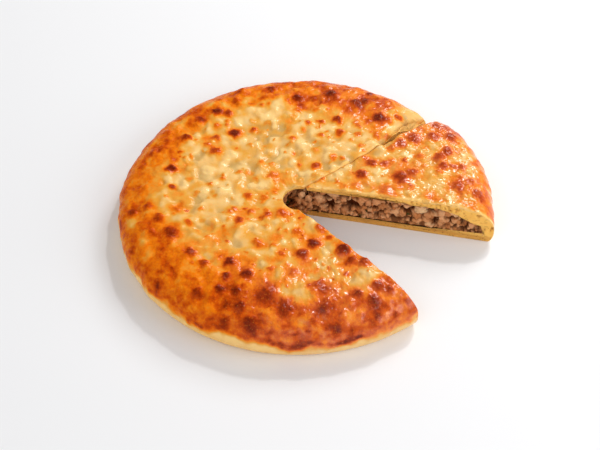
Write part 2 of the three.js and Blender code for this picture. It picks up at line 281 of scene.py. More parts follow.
class PieSector(Sector):
    """The pie, from its far cut round to its near cut, about the middle of its worn hole."""

    origin = HOLE_CENTRE
    pores = (0.1, 1.0)
    # Less crumb on the far cut lets the pale skin colour show there: partly stretched skin, partly painted
    # light where the slice shades it
    crumb = (0.4, 1.0)
    sheen = 0.6

    def near_cut(self, r):
        """Direction of the near cut at a distance: a line that passes the hole's middle at its offset."""
        return NEAR_CUT_DIRECTION - np.degrees(np.arcsin(np.minimum(1, NEAR_CUT_OFFSET / r)))

    def far_cut(self, r):
        """Direction of the far cut at a distance: such a line too, bending from the slice near the rim."""
        straight = FAR_CUT_DIRECTION + np.degrees(np.arcsin(np.minimum(1, FAR_CUT_OFFSET / r)))
        return straight + FAR_CUT_BEND * smoothstep(r, *FAR_CUT_BEND_RANGE)

    def direction(self, t, r):
        return lerp(self.far_cut(r), self.near_cut(r), t)

    def inner(self, t):
        return HOLE_RADIUS + HOLE_WIDENING * (1 - t) ** HOLE_WIDENING_POWER

    def rim(self, direction):
        """Distance of the rim in a direction: the oval's radius and the shift between the two centres."""
        angle = np.radians(direction)
        oval = PIE_OVAL * np.cos(2 * np.radians(direction - PIE_OVAL_DIRECTION))
        shift = PIE_CENTRE - HOLE_CENTRE
        return PIE_RADIUS + oval + shift[0] * np.cos(angle) + shift[1] * np.sin(angle)

    def outer(self, t):
        return self.rim(self.direction(t, PIE_RADIUS))

    def edge_width(self, r):
        return lerp(EDGE_WIDTH, FAR_EDGE_WIDTH, smoothstep(r, *FAR_CUT_BEND_RANGE))

    def pale_width(self, r):
        return lerp(*FAR_PALE_WIDTH, smoothstep(r, *FAR_CUT_BEND_RANGE))

    def lean(self, t, r, z):
        share = (1 - t) ** CUT_FADE_POWER * smoothstep(r, *FAR_CUT_BEND_RANGE)
        return FAR_CUT_LEAN * share * z / CRUST_HEIGHT


class SliceSector(Sector):
    """The slice, from its front cut to its back cut, about its tip."""

    origin = SLICE_TIP
    pores = (1.0, 1.0)
    crumb = (1.0, 1.0)
    sheen = 0.85

    def direction(self, t, r):
        return lerp(SLICE_FRONT_DIRECTION, SLICE_BACK_DIRECTION, t) + 0 * r

    def inner(self, t):
        return SLICE_TIP_RADIUS + 0 * t

    def rim(self, direction):
        """Distance of the rim in a direction, held between the two cuts."""
        t = (direction - SLICE_FRONT_DIRECTION) / (SLICE_BACK_DIRECTION - SLICE_FRONT_DIRECTION)
        return self.outer(np.clip(t, 0, 1))

    def outer(self, t):
        return SLICE_LENGTH + SLICE_SKEW * (0.5 - t) - SLICE_CORNER_LOSS * t**SLICE_CORNER_POWER

    def edge_width(self, r):
        return EDGE_WIDTH + 0 * r

    def pale_width(self, r):
        return SLICE_PALE_WIDTH + 0 * r

    def lean(self, t, r, z):
        share = (1 - t) ** CUT_FADE_POWER * smoothstep(r, 0, TIP_FADE)
        return SLICE_LEAN * share * z / CRUST_HEIGHT


class Surface:
    """Points with named values, joined into faces that point to the left of rows read upwards."""

    def __init__(self):
        self.points = []
        self.values = []
        self.faces = []
        self.count = 0

    def add(self, points, **values):
        """Adds an array of points, with a number or array for each named value, and gives their indices."""
        shape = points.shape[:-1]
        indices = self.count + np.arange(np.prod(shape)).reshape(shape)
        self.count += indices.size
        self.points.append(points.reshape(-1, 3))
        self.values.append({name: np.broadcast_to(value, shape).ravel() for name, value in values.items()})
        return indices

    def grid(self, rows, flip=False):
        """Joins each row of indices to the next by squares."""
        corners = [rows[:-1, :-1], rows[:-1, 1:], rows[1:, 1:], rows[1:, :-1]]
        if flip:
            corners.reverse()
        self.faces.append(np.stack([corner.ravel() for corner in corners], axis=-1))

    def shares(self, row):
        """The share of a row's length that lies before each of its points."""
        lengths = run_lengths(np.concatenate(self.points)[row])
        return lengths / lengths[-1]

    def join(self, row, above):
        """Joins two rows of different number by triangles, keeping level along both by share of length."""
        low = self.shares(row)
        high = self.shares(above)
        tips = np.searchsorted(high[1:], low[1:], side="left")
        feet = np.searchsorted(low[1:], high[1:], side="right")
        self.faces.append(np.stack([row[:-1], row[1:], above[tips]], axis=-1))
        self.faces.append(np.stack([row[feet], above[1:], above[:-1]], axis=-1))

    def build(self, name, material):
        """Makes the mesh object, smooth shaded, with each named value as an attribute of its points."""
        points = np.concatenate(self.points)
        corners = np.concatenate([faces.ravel() for faces in self.faces])
        sides = np.concatenate([np.full(len(faces), faces.shape[1]) for faces in self.faces])
        mesh = bpy.data.meshes.new(name)
        mesh.vertices.add(len(points))
        mesh.vertices.foreach_set("co", points.astype(np.float32).ravel())
        mesh.loops.add(len(corners))
        mesh.loops.foreach_set("vertex_index", corners.astype(np.int32))
        mesh.polygons.add(len(sides))
        mesh.polygons.foreach_set("loop_start", (np.cumsum(sides) - sides).astype(np.int32))
        mesh.polygons.foreach_set("use_smooth", np.ones(len(sides), bool))
        for value in self.values[0]:
            attribute = mesh.attributes.new(value, "FLOAT", "POINT")
            numbers = np.concatenate([values[value] for values in self.values])
            attribute.data.foreach_set("value", numbers.astype(np.float32))
        mesh.update(calc_edges=True)
        if mesh.validate():
            raise RuntimeError(f"the mesh of {name} has faulty faces")
        mesh.materials.append(material)
        piece = bpy.data.objects.new(name, mesh)
        bpy.context.scene.collection.objects.link(piece)
        return piece


class Value:
    """The output of a shader node; arithmetic on it adds Math nodes."""

    def __init__(self, finish, socket):
        self.finish = finish
        self.socket = socket

    def math(self, operation, *others):
        return self.finish.math(operation, self, *others)

    def __add__(self, other):
        return self.math("ADD", other)

    __radd__ = __add__

    def __sub__(self, other):
        return self.math("SUBTRACT", other)

    def __rsub__(self, other):
        return self.finish.math("SUBTRACT", other, self)

    def __mul__(self, other):
        return self.math("MULTIPLY", other)

    __rmul__ = __mul__

    def rise(self, low, high):
        """A smooth rise from 0 at low to 1 at high, held at both ends."""
        settings = {"interpolation_type": "SMOOTHSTEP"}
        return self.finish.node("ShaderNodeMapRange", settings, {0: self, 1: low, 2: high})


class Finish:
    """A node material in the making."""

    def __init__(self, name):
        self.material = bpy.data.materials.new(name)
        self.material.use_nodes = True
        self.tree = self.material.node_tree
        self.tree.nodes.clear()

    def node(self, kind, settings=None, inputs=None, output=0):
        """Adds a node, sets its settings, then its sockets by name or number, and gives one output."""
        node = self.tree.nodes.new(kind)
        for key, value in (settings or {}).items():
            if key == "stops":
                self.set_stops(node.color_ramp, value)
            else:
                setattr(node, key, value)
        for key, value in (inputs or {}).items():
            if isinstance(value, Value):
                self.tree.links.new(value.socket, node.inputs[key])
            else:
                node.inputs[key].default_value = value
        return Value(self, node.outputs[output]) if node.outputs else None

    @staticmethod
    def set_stops(ramp, stops):
        """Gives a colour ramp its stops, as pairs of place and colour."""
        while len(ramp.elements) < len(stops):
            ramp.elements.new(1.0)
        for element, (place, colour) in zip(ramp.elements, stops):
            element.position = place
            element.color = (*colour, 1.0)

    def math(self, operation, *values):
        return self.node("ShaderNodeMath", {"operation": operation}, dict(enumerate(values)))

    def attribute(self, name):
        return self.node("ShaderNodeAttribute", {"attribute_name": name}, output="Fac")

    def places(self):
        return self.node("ShaderNodeTexCoord", output="Object")

    def noise(self, size, detail=3.0, roughness=0.55):
        """Noise between 0 and 1 with features of about the given size."""
        inputs = {"Vector": self.places(), "Scale": 1 / size, "Detail": detail, "Roughness": roughness}
        return self.node("ShaderNodeTexNoise", None, inputs)

    def cells(self, size):
        """Distance to the middle of irregular cells of about the given size, in cell sizes."""
        inputs = {"Vector": self.places(), "Scale": 1 / size}
        return self.node("ShaderNodeTexVoronoi", None, inputs, "Distance")

    def mix(self, share, first, second):
        """Two colours mixed by a share."""
        colours = [c if isinstance(c, Value) else (*c, 1.0) for c in (first, second)]
        inputs = {0: share, 6: colours[0], 7: colours[1]}
        return self.node("ShaderNodeMix", {"data_type": "RGBA"}, inputs, 2)

    def ramp(self, value, look, stops):
        """A ramp through the colours of a look, given by their names and places."""
        colours = [(place, getattr(look, name)) for name, place in stops.items()]
        return self.node("ShaderNodeValToRGB", {"stops": colours}, {0: value})

    def bump(self, height, distance):
        return self.node("ShaderNodeBump", None, {"Height": height, "Distance": distance, "Strength": 1.0})

    def output(self, **sockets):
        """Ends the material in one Principled shader; a socket's name is written with underscores."""
        inputs = {name.replace("_", " "): value for name, value in sockets.items()}
        shader = self.node("ShaderNodeBsdfPrincipled", None, inputs)
        self.node("ShaderNodeOutputMaterial", None, {"Surface": shader})
        return self.material


def colour_property(name, description, default):
    return bpy.props.FloatVectorProperty(
        name=name, description=description, default=default, size=3, min=0, max=1, subtype="COLOR"
    )


def length_property(name, description, default):
    return bpy.props.FloatProperty(
        name=name, description=description, default=default, min=0, unit="LENGTH", precision=4
    )


def light_property(name, description, default, unit):
    return bpy.props.FloatProperty(name=name, description=description, default=default, min=0, unit=unit)


class MeatPieCrustLook(bpy.types.PropertyGroup):
    """Relief and colours of the crusts."""

    spacing: length_property("Spacing", "About how far apart the points of the crusts lie", 1.1 * MM)
    swell_height: length_property("Swell height", "Height of the broad swells of the top", 0.9 * MM)
    dimple_depth: length_property("Dimple depth", "Depth of the soft dents in the top", 1.5 * MM)
    wrinkle_height: length_property("Wrinkle height", "Height of the small wrinkles of the top", 0.3 * MM)
    crackle_depth: length_property("Crackle depth", "Depth of the fine creases towards the rim", 0.7 * MM)
    blister_height: length_property("Blister height", "Height of a blister of middling radius", 1.8 * MM)
    browned_width: length_property("Browned width", "Least width of the rim's browned band", 38 * MM)
    milky: colour_property("Milky", "Palest skin", (0.94, 0.60, 0.22))
    cream: colour_property("Cream", "Barely baked skin", (0.88, 0.52, 0.17))
    gold: colour_property("Gold", "Lightly baked skin", (0.83, 0.375, 0.048))
    orange: colour_property("Orange", "Well baked skin", (0.88, 0.21, 0.003))
    brown: colour_property("Brown", "Strongly baked skin", (0.61, 0.08, 0.001))
    russet: colour_property("Russet", "Dark foot of a blister", (0.34, 0.034, 0.001))
    blister: colour_property("Blister", "Darkest top of a blister", (0.16, 0.012, 0.001))
    # Damp colour: thin skin where the filling shows through, and a painted shade in the dents
    damp: colour_property("Damp", "Thin skin where the filling shows through", (0.48, 0.28, 0.075))
    crumb: colour_property("Crumb", "Dough at a cut", (1.0, 0.56, 0.13))
    # Steamed colour: dough against the filling and in the bottom crust, and the painted shade in the pores
    steamed_and_pore_shade: colour_property("Steamed", "Dough in pores and against the filling", (0.46, 0.19, 0.045))


class MeatPieFillingLook(bpy.types.PropertyGroup):
    """Sizes and colours of the minced meat."""

    spacing: length_property("Spacing", "About how far apart the points of a cut face lie", 0.6 * MM)
    lump_size: length_property("Lump size", "Size of the larger lumps of meat", 6 * MM)
    lump_depth: length_property("Lump depth", "How far in the deepest lumps of a cut face lie", 3.2 * MM)
    shade: colour_property("Shade", "Darkest meat", (0.29, 0.07, 0.012))
    meat: colour_property("Meat", "Cooked meat", (0.62, 0.245, 0.085))
    pink: colour_property("Pink", "Pinkish meat", (0.78, 0.37, 0.165))
    pale: colour_property("Pale", "Fat and onion", (0.84, 0.53, 0.28))
    # Dark: the painted shade in the gaps between lumps
    dark: colour_property("Dark", "Gaps between lumps", (0.05, 0.008, 0.001))
    herb: colour_property("Herb", "Chopped green herb", (0.03, 0.045, 0.008))


class MeatPieStageLook(bpy.types.PropertyGroup):
    """Floor and light."""

    floor: colour_property("Floor", "Plain pale floor", (0.88, 0.88, 0.89))
    surround: light_property("Surround", "Brightness of the even light from all round", 0.42, "NONE")
    key: light_property("Key light", "Power of the light from behind on the right", 16, "POWER")
    spark: light_property("Spark light", "Power of the small light that glints in the skin", 7, "POWER")
    side: light_property("Side light", "Power of the light from the right", 13, "POWER")
    front: light_property("Front light", "Power of the broad light in front on the left", 23, "POWER")


def picture_rays(across, down):
    """The camera's place and its rays through pixels of the picture, each a step of 1 along the view."""
    lift = np.radians(CAMERA_ELEVATION)
    back = np.array([0, -np.cos(lift), np.sin(lift)])
    up = np.array([0, np.sin(lift), np.cos(lift)])
    focus = LENS / SENSOR_WIDTH * PICTURE_SIZE[0]
    right_share = (across - PICTURE_SIZE[0] / 2) / focus
    up_share = (PICTURE_SIZE[1] / 2 - down) / focus
    rays = right_share[:, None] * np.array([1.0, 0, 0]) + up_share[:, None] * up - back
    return CAMERA_TARGET + CAMERA_DISTANCE * back, rays


def on_top(sector, across, down):
    """The places on a sector's plain top that show at pixels of the picture.

    Each ray is cut with the level of the top, then a few times over with the level at its depth there."""
    eye, rays = picture_rays(across, down)
    height = np.full(len(rays), CRUST_HEIGHT)
    for _ in range(LEVEL_ROUNDS):
        places = eye + rays * ((height - eye[2]) / rays[:, 2])[:, None]
        height = top_height(np.maximum(0, sector.depth(places[:, 0], places[:, 1])))
    return places


def on_front_cut(across, down):
    """The places on the slice's front cut that show at pixels, as distances from the tip and heights."""
    eye, rays = picture_rays(across, down)
    angle = np.radians(SLICE_FRONT_DIRECTION)
    along = np.array([np.cos(angle), np.sin(angle)])
    square = np.array([-along[1], along[0]])
    steps = ((SLICE_TIP - eye[:2]) @ square) / (rays[:, :2] @ square)
    places = eye + rays * steps[:, None]
    return (places[:, :2] - SLICE_TIP) @ along, places[:, 2]


def top_height(depth):
    """Height of the plain top at a depth: a rounded shoulder, then level but for a dip in the middle."""
    rest = np.clip(1 - depth / SHOULDER_DEPTH, 0, 1)
    rise = (1 - rest**SHOULDER_POWER) ** (1 / SHOULDER_POWER)
    dip = MIDDLE_DIP * smoothstep(depth, SHOULDER_DEPTH, PIE_RADIUS)
    return RIM_WIDEST_HEIGHT + (CRUST_HEIGHT - RIM_WIDEST_HEIGHT) * rise - dip


def soft_swells(x, y):
    """Height of the soft swells that the frame's top has too: seeded round swells, added up."""
    number = np.arange(SWELL_COUNT)
    angle = 2 * np.pi * draw(number, 1, SWELL_DRAW_SEED)
    reach = (PIE_RADIUS - FOOT_DEPTH) * draw(number, 2, SWELL_DRAW_SEED) ** SWELL_SPREAD_POWER
    radii = lerp(*SWELL_RADIUS, draw(number, 3, SWELL_DRAW_SEED))
    heights = lerp(*SWELL_RISE, draw(number, 4, SWELL_DRAW_SEED))
    total = np.zeros_like(x)
    for i in number:
        middle = PIE_CENTRE + reach[i] * np.array([np.cos(angle[i]), np.sin(angle[i])])
        total += heights[i] * (1 - smoothstep(np.hypot(x - middle[0], y - middle[1]) / radii[i], 0, 1))
    return total


# Blisters: growth of the chosen ones, and crowding, radii in millimetres and darkness of the small ones
BLISTER_GROWTH = 1.2
SMALL_CROWDING = 1.6
SMALL_RADIUS = 1.3
SMALL_RADIUS_SPREAD = 2.4
SMALL_DARKNESS = (0.15, 0.6)
SMALL_FADE = (5 * MM, 40 * MM)

# One blister: middling radius, least rise, power of its dome, and shares of its radius that are brown
BLISTER_RADIUS = 5 * MM
BLISTER_LEAST_RISE = 0.4
BLISTER_POWER = 1.2
BLISTER_CORE = (0.3, 1.15)
BLISTER_RING = (0.7, 2.0)
BLISTER_CORE_SHARE = 0.7

# How blisters and the pale, glossy patches are pushed out of round, and how a patch fades
PUSH_ACROSS = ((1.3 * MM, 5 * MM, 41), (0.6 * MM, 2.2 * MM, 43))
PUSH_ALONG = ((1.3 * MM, 5 * MM, 42), (0.6 * MM, 2.2 * MM, 44))
PATCH_FADE = (0, 1.3)

# Relief of the skin: dents, bumps with a painted highlight, wrinkles, fine creases, stronger on the near
# right, and crackle
DENT_NOISE = (12 * MM, 51)
DENT_RANGE = (0.05, 0.75)
BUMP_NOISE = (8 * MM, 55)
BUMP_RANGE = (-0.1, 0.8)
BUMP_SHARE = 0.8
BUMP_PAINTED_HIGHLIGHT = 0.2
WRINKLES = ((0.7, 4.5 * MM, 53), (0.5, 2.8 * MM, 54))
INNER_WRINKLES = 0.55
WRINKLE_FADE = (45 * MM, 80 * MM)
CREASE_NOISE = (1.5 * MM, 57)
NEAR_CREASES = 0.7
NEAR_CREASE_REACH = (20 * MM, 90 * MM)
NEAR_CREASE_SPAN = (-60 * MM, 30 * MM)
CRACKLE_NOISE = (4 * MM, 56)
CRACKLE_FADE = (15 * MM, 60 * MM)

# The browned band along the rim: wider and darker in front and at the back, mottled, with a ragged edge
NEAR_DIRECTION = 264
NEAR_WIDENING = 0.2
NEAR_WIDENING_RANGE = (-0.2, 1)
NEAR_BAKE = 0.13
NEAR_BAKE_RANGE = (0.3, 1)
BACK_DIRECTION = 60
BACK_WIDENING = 0.3
BACK_WIDENING_RANGE = (0.5, 1)
BACK_BAKE = 0.03
BAND_EDGE = ((10 * MM, 24 * MM, 61), (8 * MM, 10 * MM, 62))
BAND_FADE = (0.55, 1.25)
BAND_MOTTLE = ((0.15, 11 * MM, 65), (0.1, 4.5 * MM, 67))
OUTER_BAKE = 0.08
OUTER_BAKE_FADE = (2 * MM, 10 * MM)

# Browning further in: patches, more towards the near side, and blotches next to the band
INNER_PATCHES = ((0.19, 15 * MM, 63), (0.12, 7 * MM, 64))
NEAR_WARMTH = 0.24
NEAR_WARMTH_REACH = (-20 * MM, 120 * MM)
BLOTCH_NOISE = (16 * MM, 68)
BLOTCH_RANGE = (0.15, 0.6)
BLOTCH_FADE = (40 * MM, 90 * MM)
BLOTCH_BAKE = 0.13

# The rim's pale foot, higher on the near side, and the browned underside
FOOT_EDGE = ((5 * MM, 24 * MM, 66), (2 * MM, 7 * MM, 69))
FOOT_HEIGHT = (6 * MM, 9 * MM)
FOOT_NEAR_RANGE = (-0.2, 0.6)
FOOT_FADE = 11 * MM
FOOT_BAKE = 0.08
UNDERSIDE_BAKE = 0.5
UNDERSIDE_EDGE = (4 * MM, 7 * MM)
UNDERSIDE_LEVEL = 1 * MM


class Skin:
    """The baked skin of one crust: its relief and its browning at each place."""

    def __init__(self, sector, blisters, patches, extra, seed, warmth, rim_bake, creased):
        self.look = bpy.context.scene.meat_pie_crust
        self.creased = creased
        self.warmth = warmth
        self.rim_bake = rim_bake
        table = np.array(blisters, float)
        rng = np.random.default_rng(seed)
        t = rng.uniform(0, 1, extra)
        depth = (sector.outer(t) - sector.inner(t)) * rng.uniform(0, 1, extra) ** SMALL_CROWDING
        small = sector.place(t, sector.outer(t) - depth, top_height(depth))
        small_radii = SMALL_RADIUS + SMALL_RADIUS_SPREAD * rng.uniform(0, 1, extra) ** 2
        faint = rng.uniform(*SMALL_DARKNESS, extra) * smoothstep(depth, *SMALL_FADE)
        self.places = np.concatenate([on_top(sector, table[:, 0], table[:, 1]), small])
        self.radii = np.concatenate([BLISTER_GROWTH * table[:, 2], small_radii]) * MM
        self.darkness = np.concatenate([table[:, 3], faint])
        table = np.array(patches, float)
        self.patches = on_top(sector, table[:, 0], table[:, 1])
        self.patch_radii = table[:, 2] * MM

    def pushed(self, points):
        """Points pushed about by noise, so that nothing placed among them is round."""
        x, y, z = np.moveaxis(points, -1, 0)
        return np.stack([x + layered(x, y, PUSH_ACROSS), y + layered(x, y, PUSH_ALONG), z], axis=-1)

    def butter(self, points):
        """How far each point lies in a pale patch, partly pale skin and partly painted sheen: 1 in its
        middle, fading out at its edge.
        """
        pushed = self.pushed(points)
        butter = np.zeros(points.shape[:-1])
        for place, radius in zip(self.patches, self.patch_radii):
            share = np.linalg.norm(pushed - place, axis=-1) / radius
            butter = np.maximum(butter, 1 - smoothstep(share, *PATCH_FADE))
        return butter

    def blisters(self, points):
        """Height and browning of the blisters at points.

        A blister is a dome, a power of one less the squared share of its radius. It is dark to near its
        foot, with a paler ring that fades out."""
        pushed = self.pushed(points)
        height = np.zeros(points.shape[:-1])
        brown = np.zeros(points.shape[:-1])
        for place, radius, dark in zip(self.places, self.radii, self.darkness):
            share = np.linalg.norm(pushed - place, axis=-1) / radius
            strength = lerp(BLISTER_LEAST_RISE, 1, dark)
            rise = self.look.blister_height * np.sqrt(radius / BLISTER_RADIUS) * strength
            height = np.maximum(height, rise * np.maximum(0, 1 - share**2) ** BLISTER_POWER)
            core = 1 - smoothstep(share, *BLISTER_CORE)
            ring = 1 - smoothstep(share, *BLISTER_RING)
            brown = np.maximum(brown, dark * lerp(ring, core, BLISTER_CORE_SHARE))
        return height, brown

    def relief(self, points, depth):
        """Height above the plain top, with its dents and its blisters' browning.

        Broad and soft swells, bumps where one noise is high, wrinkles with creases, and blisters are
        added up. Dents, where a broader noise is high, and crackle towards the rim are taken away.
        Bumps are painted paler than the rest, a painted highlight on their raised tops."""
        look = self.look
        x = points[..., 0]
        y = points[..., 1]
        dent = smoothstep(cloud(x, y, *DENT_NOISE), *DENT_RANGE)
        bump = smoothstep(cloud(x, y, *BUMP_NOISE), *BUMP_RANGE)
        near = smoothstep(-y, *NEAR_CREASE_REACH) * smoothstep(x, *NEAR_CREASE_SPAN)
        creased = self.creased + NEAR_CREASES * near
        wrinkles = layered(x, y, WRINKLES) + creased * cloud(x, y, *CREASE_NOISE)
        wrinkles = wrinkles * lerp(1.0, INNER_WRINKLES, smoothstep(depth, *WRINKLE_FADE))
        domes, brown = self.blisters(points)
        height = look.swell_height * noise(x, y, SWELL_WIDTH, SWELL_SEED) + soft_swells(x, y) + domes
        height += look.dimple_depth * (BUMP_SHARE * bump - dent) + look.wrinkle_height * wrinkles
        crackle = np.abs(cloud(x, y, *CRACKLE_NOISE)) * (1 - smoothstep(depth, *CRACKLE_FADE))
        height -= look.crackle_depth * crackle
        # The bumps' painted highlight takes away from the browning
        return height, dent * (1 - bump), brown - BUMP_PAINTED_HIGHLIGHT * bump * (1 - brown)

    def browning(self, points, depth):
        """How far the skin is baked, from 0, pale, to 1, black: most along the rim, in patches further in.

        The foot of the rim stays pale, and the underside is brown all over. The lower a place, the further
        out its noise is read, as if the rim were unrolled, so that no patch is drawn out down it."""
        x, y, z = np.moveaxis(points, -1, 0)
        direction = np.arctan2(y - PIE_CENTRE[1], x - PIE_CENTRE[0])
        x = x + (CRUST_HEIGHT - z) * np.cos(direction)
        y = y + (CRUST_HEIGHT - z) * np.sin(direction)
        near = np.cos(direction - np.radians(NEAR_DIRECTION))
        back = np.cos(direction - np.radians(BACK_DIRECTION))
        wider = NEAR_WIDENING * smoothstep(near, *NEAR_WIDENING_RANGE)
        wider = wider + BACK_WIDENING * smoothstep(back, *BACK_WIDENING_RANGE)
        width = self.look.browned_width * (1 + wider)
        rim = 1 - smoothstep((depth + layered(x, y, BAND_EDGE)) / width, *BAND_FADE)
        inside = self.warmth + layered(x, y, INNER_PATCHES)
        inside = inside + NEAR_WARMTH * smoothstep(-y, *NEAR_WARMTH_REACH)
        band = self.rim_bake + layered(x, y, BAND_MOTTLE) + BACK_BAKE * back
        band = band + NEAR_BAKE * smoothstep(near, *NEAR_BAKE_RANGE)
        band = band + OUTER_BAKE * (1 - smoothstep(depth, *OUTER_BAKE_FADE))
        blotch = smoothstep(cloud(x, y, *BLOTCH_NOISE), *BLOTCH_RANGE)
        blotch = blotch * (1 - smoothstep(depth, *BLOTCH_FADE))
        baked = lerp(np.maximum(0, inside), band, rim) + BLOTCH_BAKE * blotch
        foot = lerp(*FOOT_HEIGHT, smoothstep(near, *FOOT_NEAR_RANGE))
        above = smoothstep(z + layered(x, y, FOOT_EDGE), foot, foot + FOOT_FADE)
        under = smoothstep(depth, *UNDERSIDE_EDGE) * (z < UNDERSIDE_LEVEL)
        return baked * lerp(FOOT_BAKE, 1.0, above) + UNDERSIDE_BAKE * under


def hollow_corners(sector, t):
    """Corners of the crust's hollow at t, as distance and height: the floor outwards, the roof inwards."""
    inner = sector.inner(t)
    outer = sector.outer(t)
    end = outer - SLOPE_DEPTHS[-1]
    roof = [(outer - depth, height) for depth, height in zip(SLOPE_DEPTHS[::-1], SLOPE_HEIGHTS[::-1])]
    floor = [(inner, FILLING_BASE), (outer - KNEE_DEPTH, FILLING_BASE), (end, FILLING_BASE)]
    corners = floor + roof + [(inner, FILLING_HEIGHT)]
    return np.array([np.stack(np.broadcast_arrays(r, z), axis=-1) for r, z in corners])


def stretched(corners, breaks, shares):
    """Points along a row of corners, which match shares of length of each stretch between the breaks."""
    points = []
    for start, end, share in zip(breaks[:-1], breaks[1:], shares):
        run = corners[start : end + 1]
        lengths = run_lengths(run)
        places = share * lengths[-1]
        points.append(np.stack([np.interp(places, lengths, run[:, axis]) for axis in (0, 1)], axis=-1))
    return np.concatenate(points)


def edge_drop(gap, width):
    """How far the skin rounds down near a cut: a quarter of an ellipse, as wide as the edge."""
    share = np.clip(1 - gap / width, 0, 1)
    return EDGE_DROP * width * (1 - np.sqrt(1 - share**2))


# Rows of points of the underside and of a cut face, and the hollow's corners where floor, rim and roof meet
UNDER_ROWS = 12
CUT_ROWS = 8
HOLLOW_BREAKS = (0, 2, 6, 8)

# Finer steps towards a cut, in shares of a plain step
EDGE_STEPS = (0, 0.2, 0.4, 0.7, 1, 1.5)

# Where the rim wobbles, where the relief sets in, and where the skin is rounded down at a cut
WOBBLE = ((0.9 * MM, 17 * MM, 71), (0.81 * MM, 7 * MM, 72))
WOBBLE_DEPTHS = (4 * MM, 26 * MM)
WOBBLE_HEIGHTS = (0, 9 * MM)
RELIEF_DEPTHS = (3 * MM, 16 * MM)
DROP_HEIGHTS = (18 * MM, 28 * MM)

# Paleness at a cut's uneven edge and in the pale patches, both partly painted light, crumb at the edge, and
# where blisters darken
PALE_EDGE = ((2 * MM, 7 * MM, 73),)
PALE_SHARE = 0.95
PATCH_PALE_SKIN_AND_SHEEN = 0.7
EDGE_CRUMB = 0.6
EDGE_CRUMB_WIDTH = 3 * MM
BLISTER_HEIGHTS = (5 * MM, 14 * MM)

# Gloss: most towards +X, on the near right, on the level top and in buttery patches
LEAST_GLOSS = 0.08
RIGHT_SPAN = (-60 * MM, 110 * MM)
LEVEL_GLOSS = 0.5
LEVEL_DEPTHS = (30 * MM, 60 * MM)
NEAR_GLOSS = 1.5
NEAR_GLOSS_REACH = (30 * MM, 100 * MM)
NEAR_GLOSS_SPAN = (-80 * MM, 20 * MM)

# Cut faces: waves of the hollow's edge, pores, most in the bottom crust and painted darker as shade, and
# crumb damp from the filling
HOLLOW_WAVES = ((1.1 * MM, 9 * MM, 83), (1.1 * MM, 3.5 * MM, 85))
CUT_END_FADE = (0, 0.05)
PORE_SPOTS = ((1.0, 2.0 * MM, 81), (1.0, 4.0 * MM, 84))
PORE_RANGE = (0.35, 1.0)
PORE_THICKNESS = (2 * MM, 5 * MM)
PORE_DEPTH = 1.2 * MM
CRUMB_RELIEF = 0.3 * MM
CRUMB_SETTING_IN = 5
BOTTOM_CRUST = (4 * MM, 8 * MM)
BOTTOM_PORES = 0.35
BOTTOM_DAMP = 0.65
SKIN_THICKNESS = 0.8 * MM
SKIN_CRUMB = 0.3
MOIST_SHARES = (0.5, 1.0)
MOIST_THICKNESS = (6 * MM, 11 * MM)


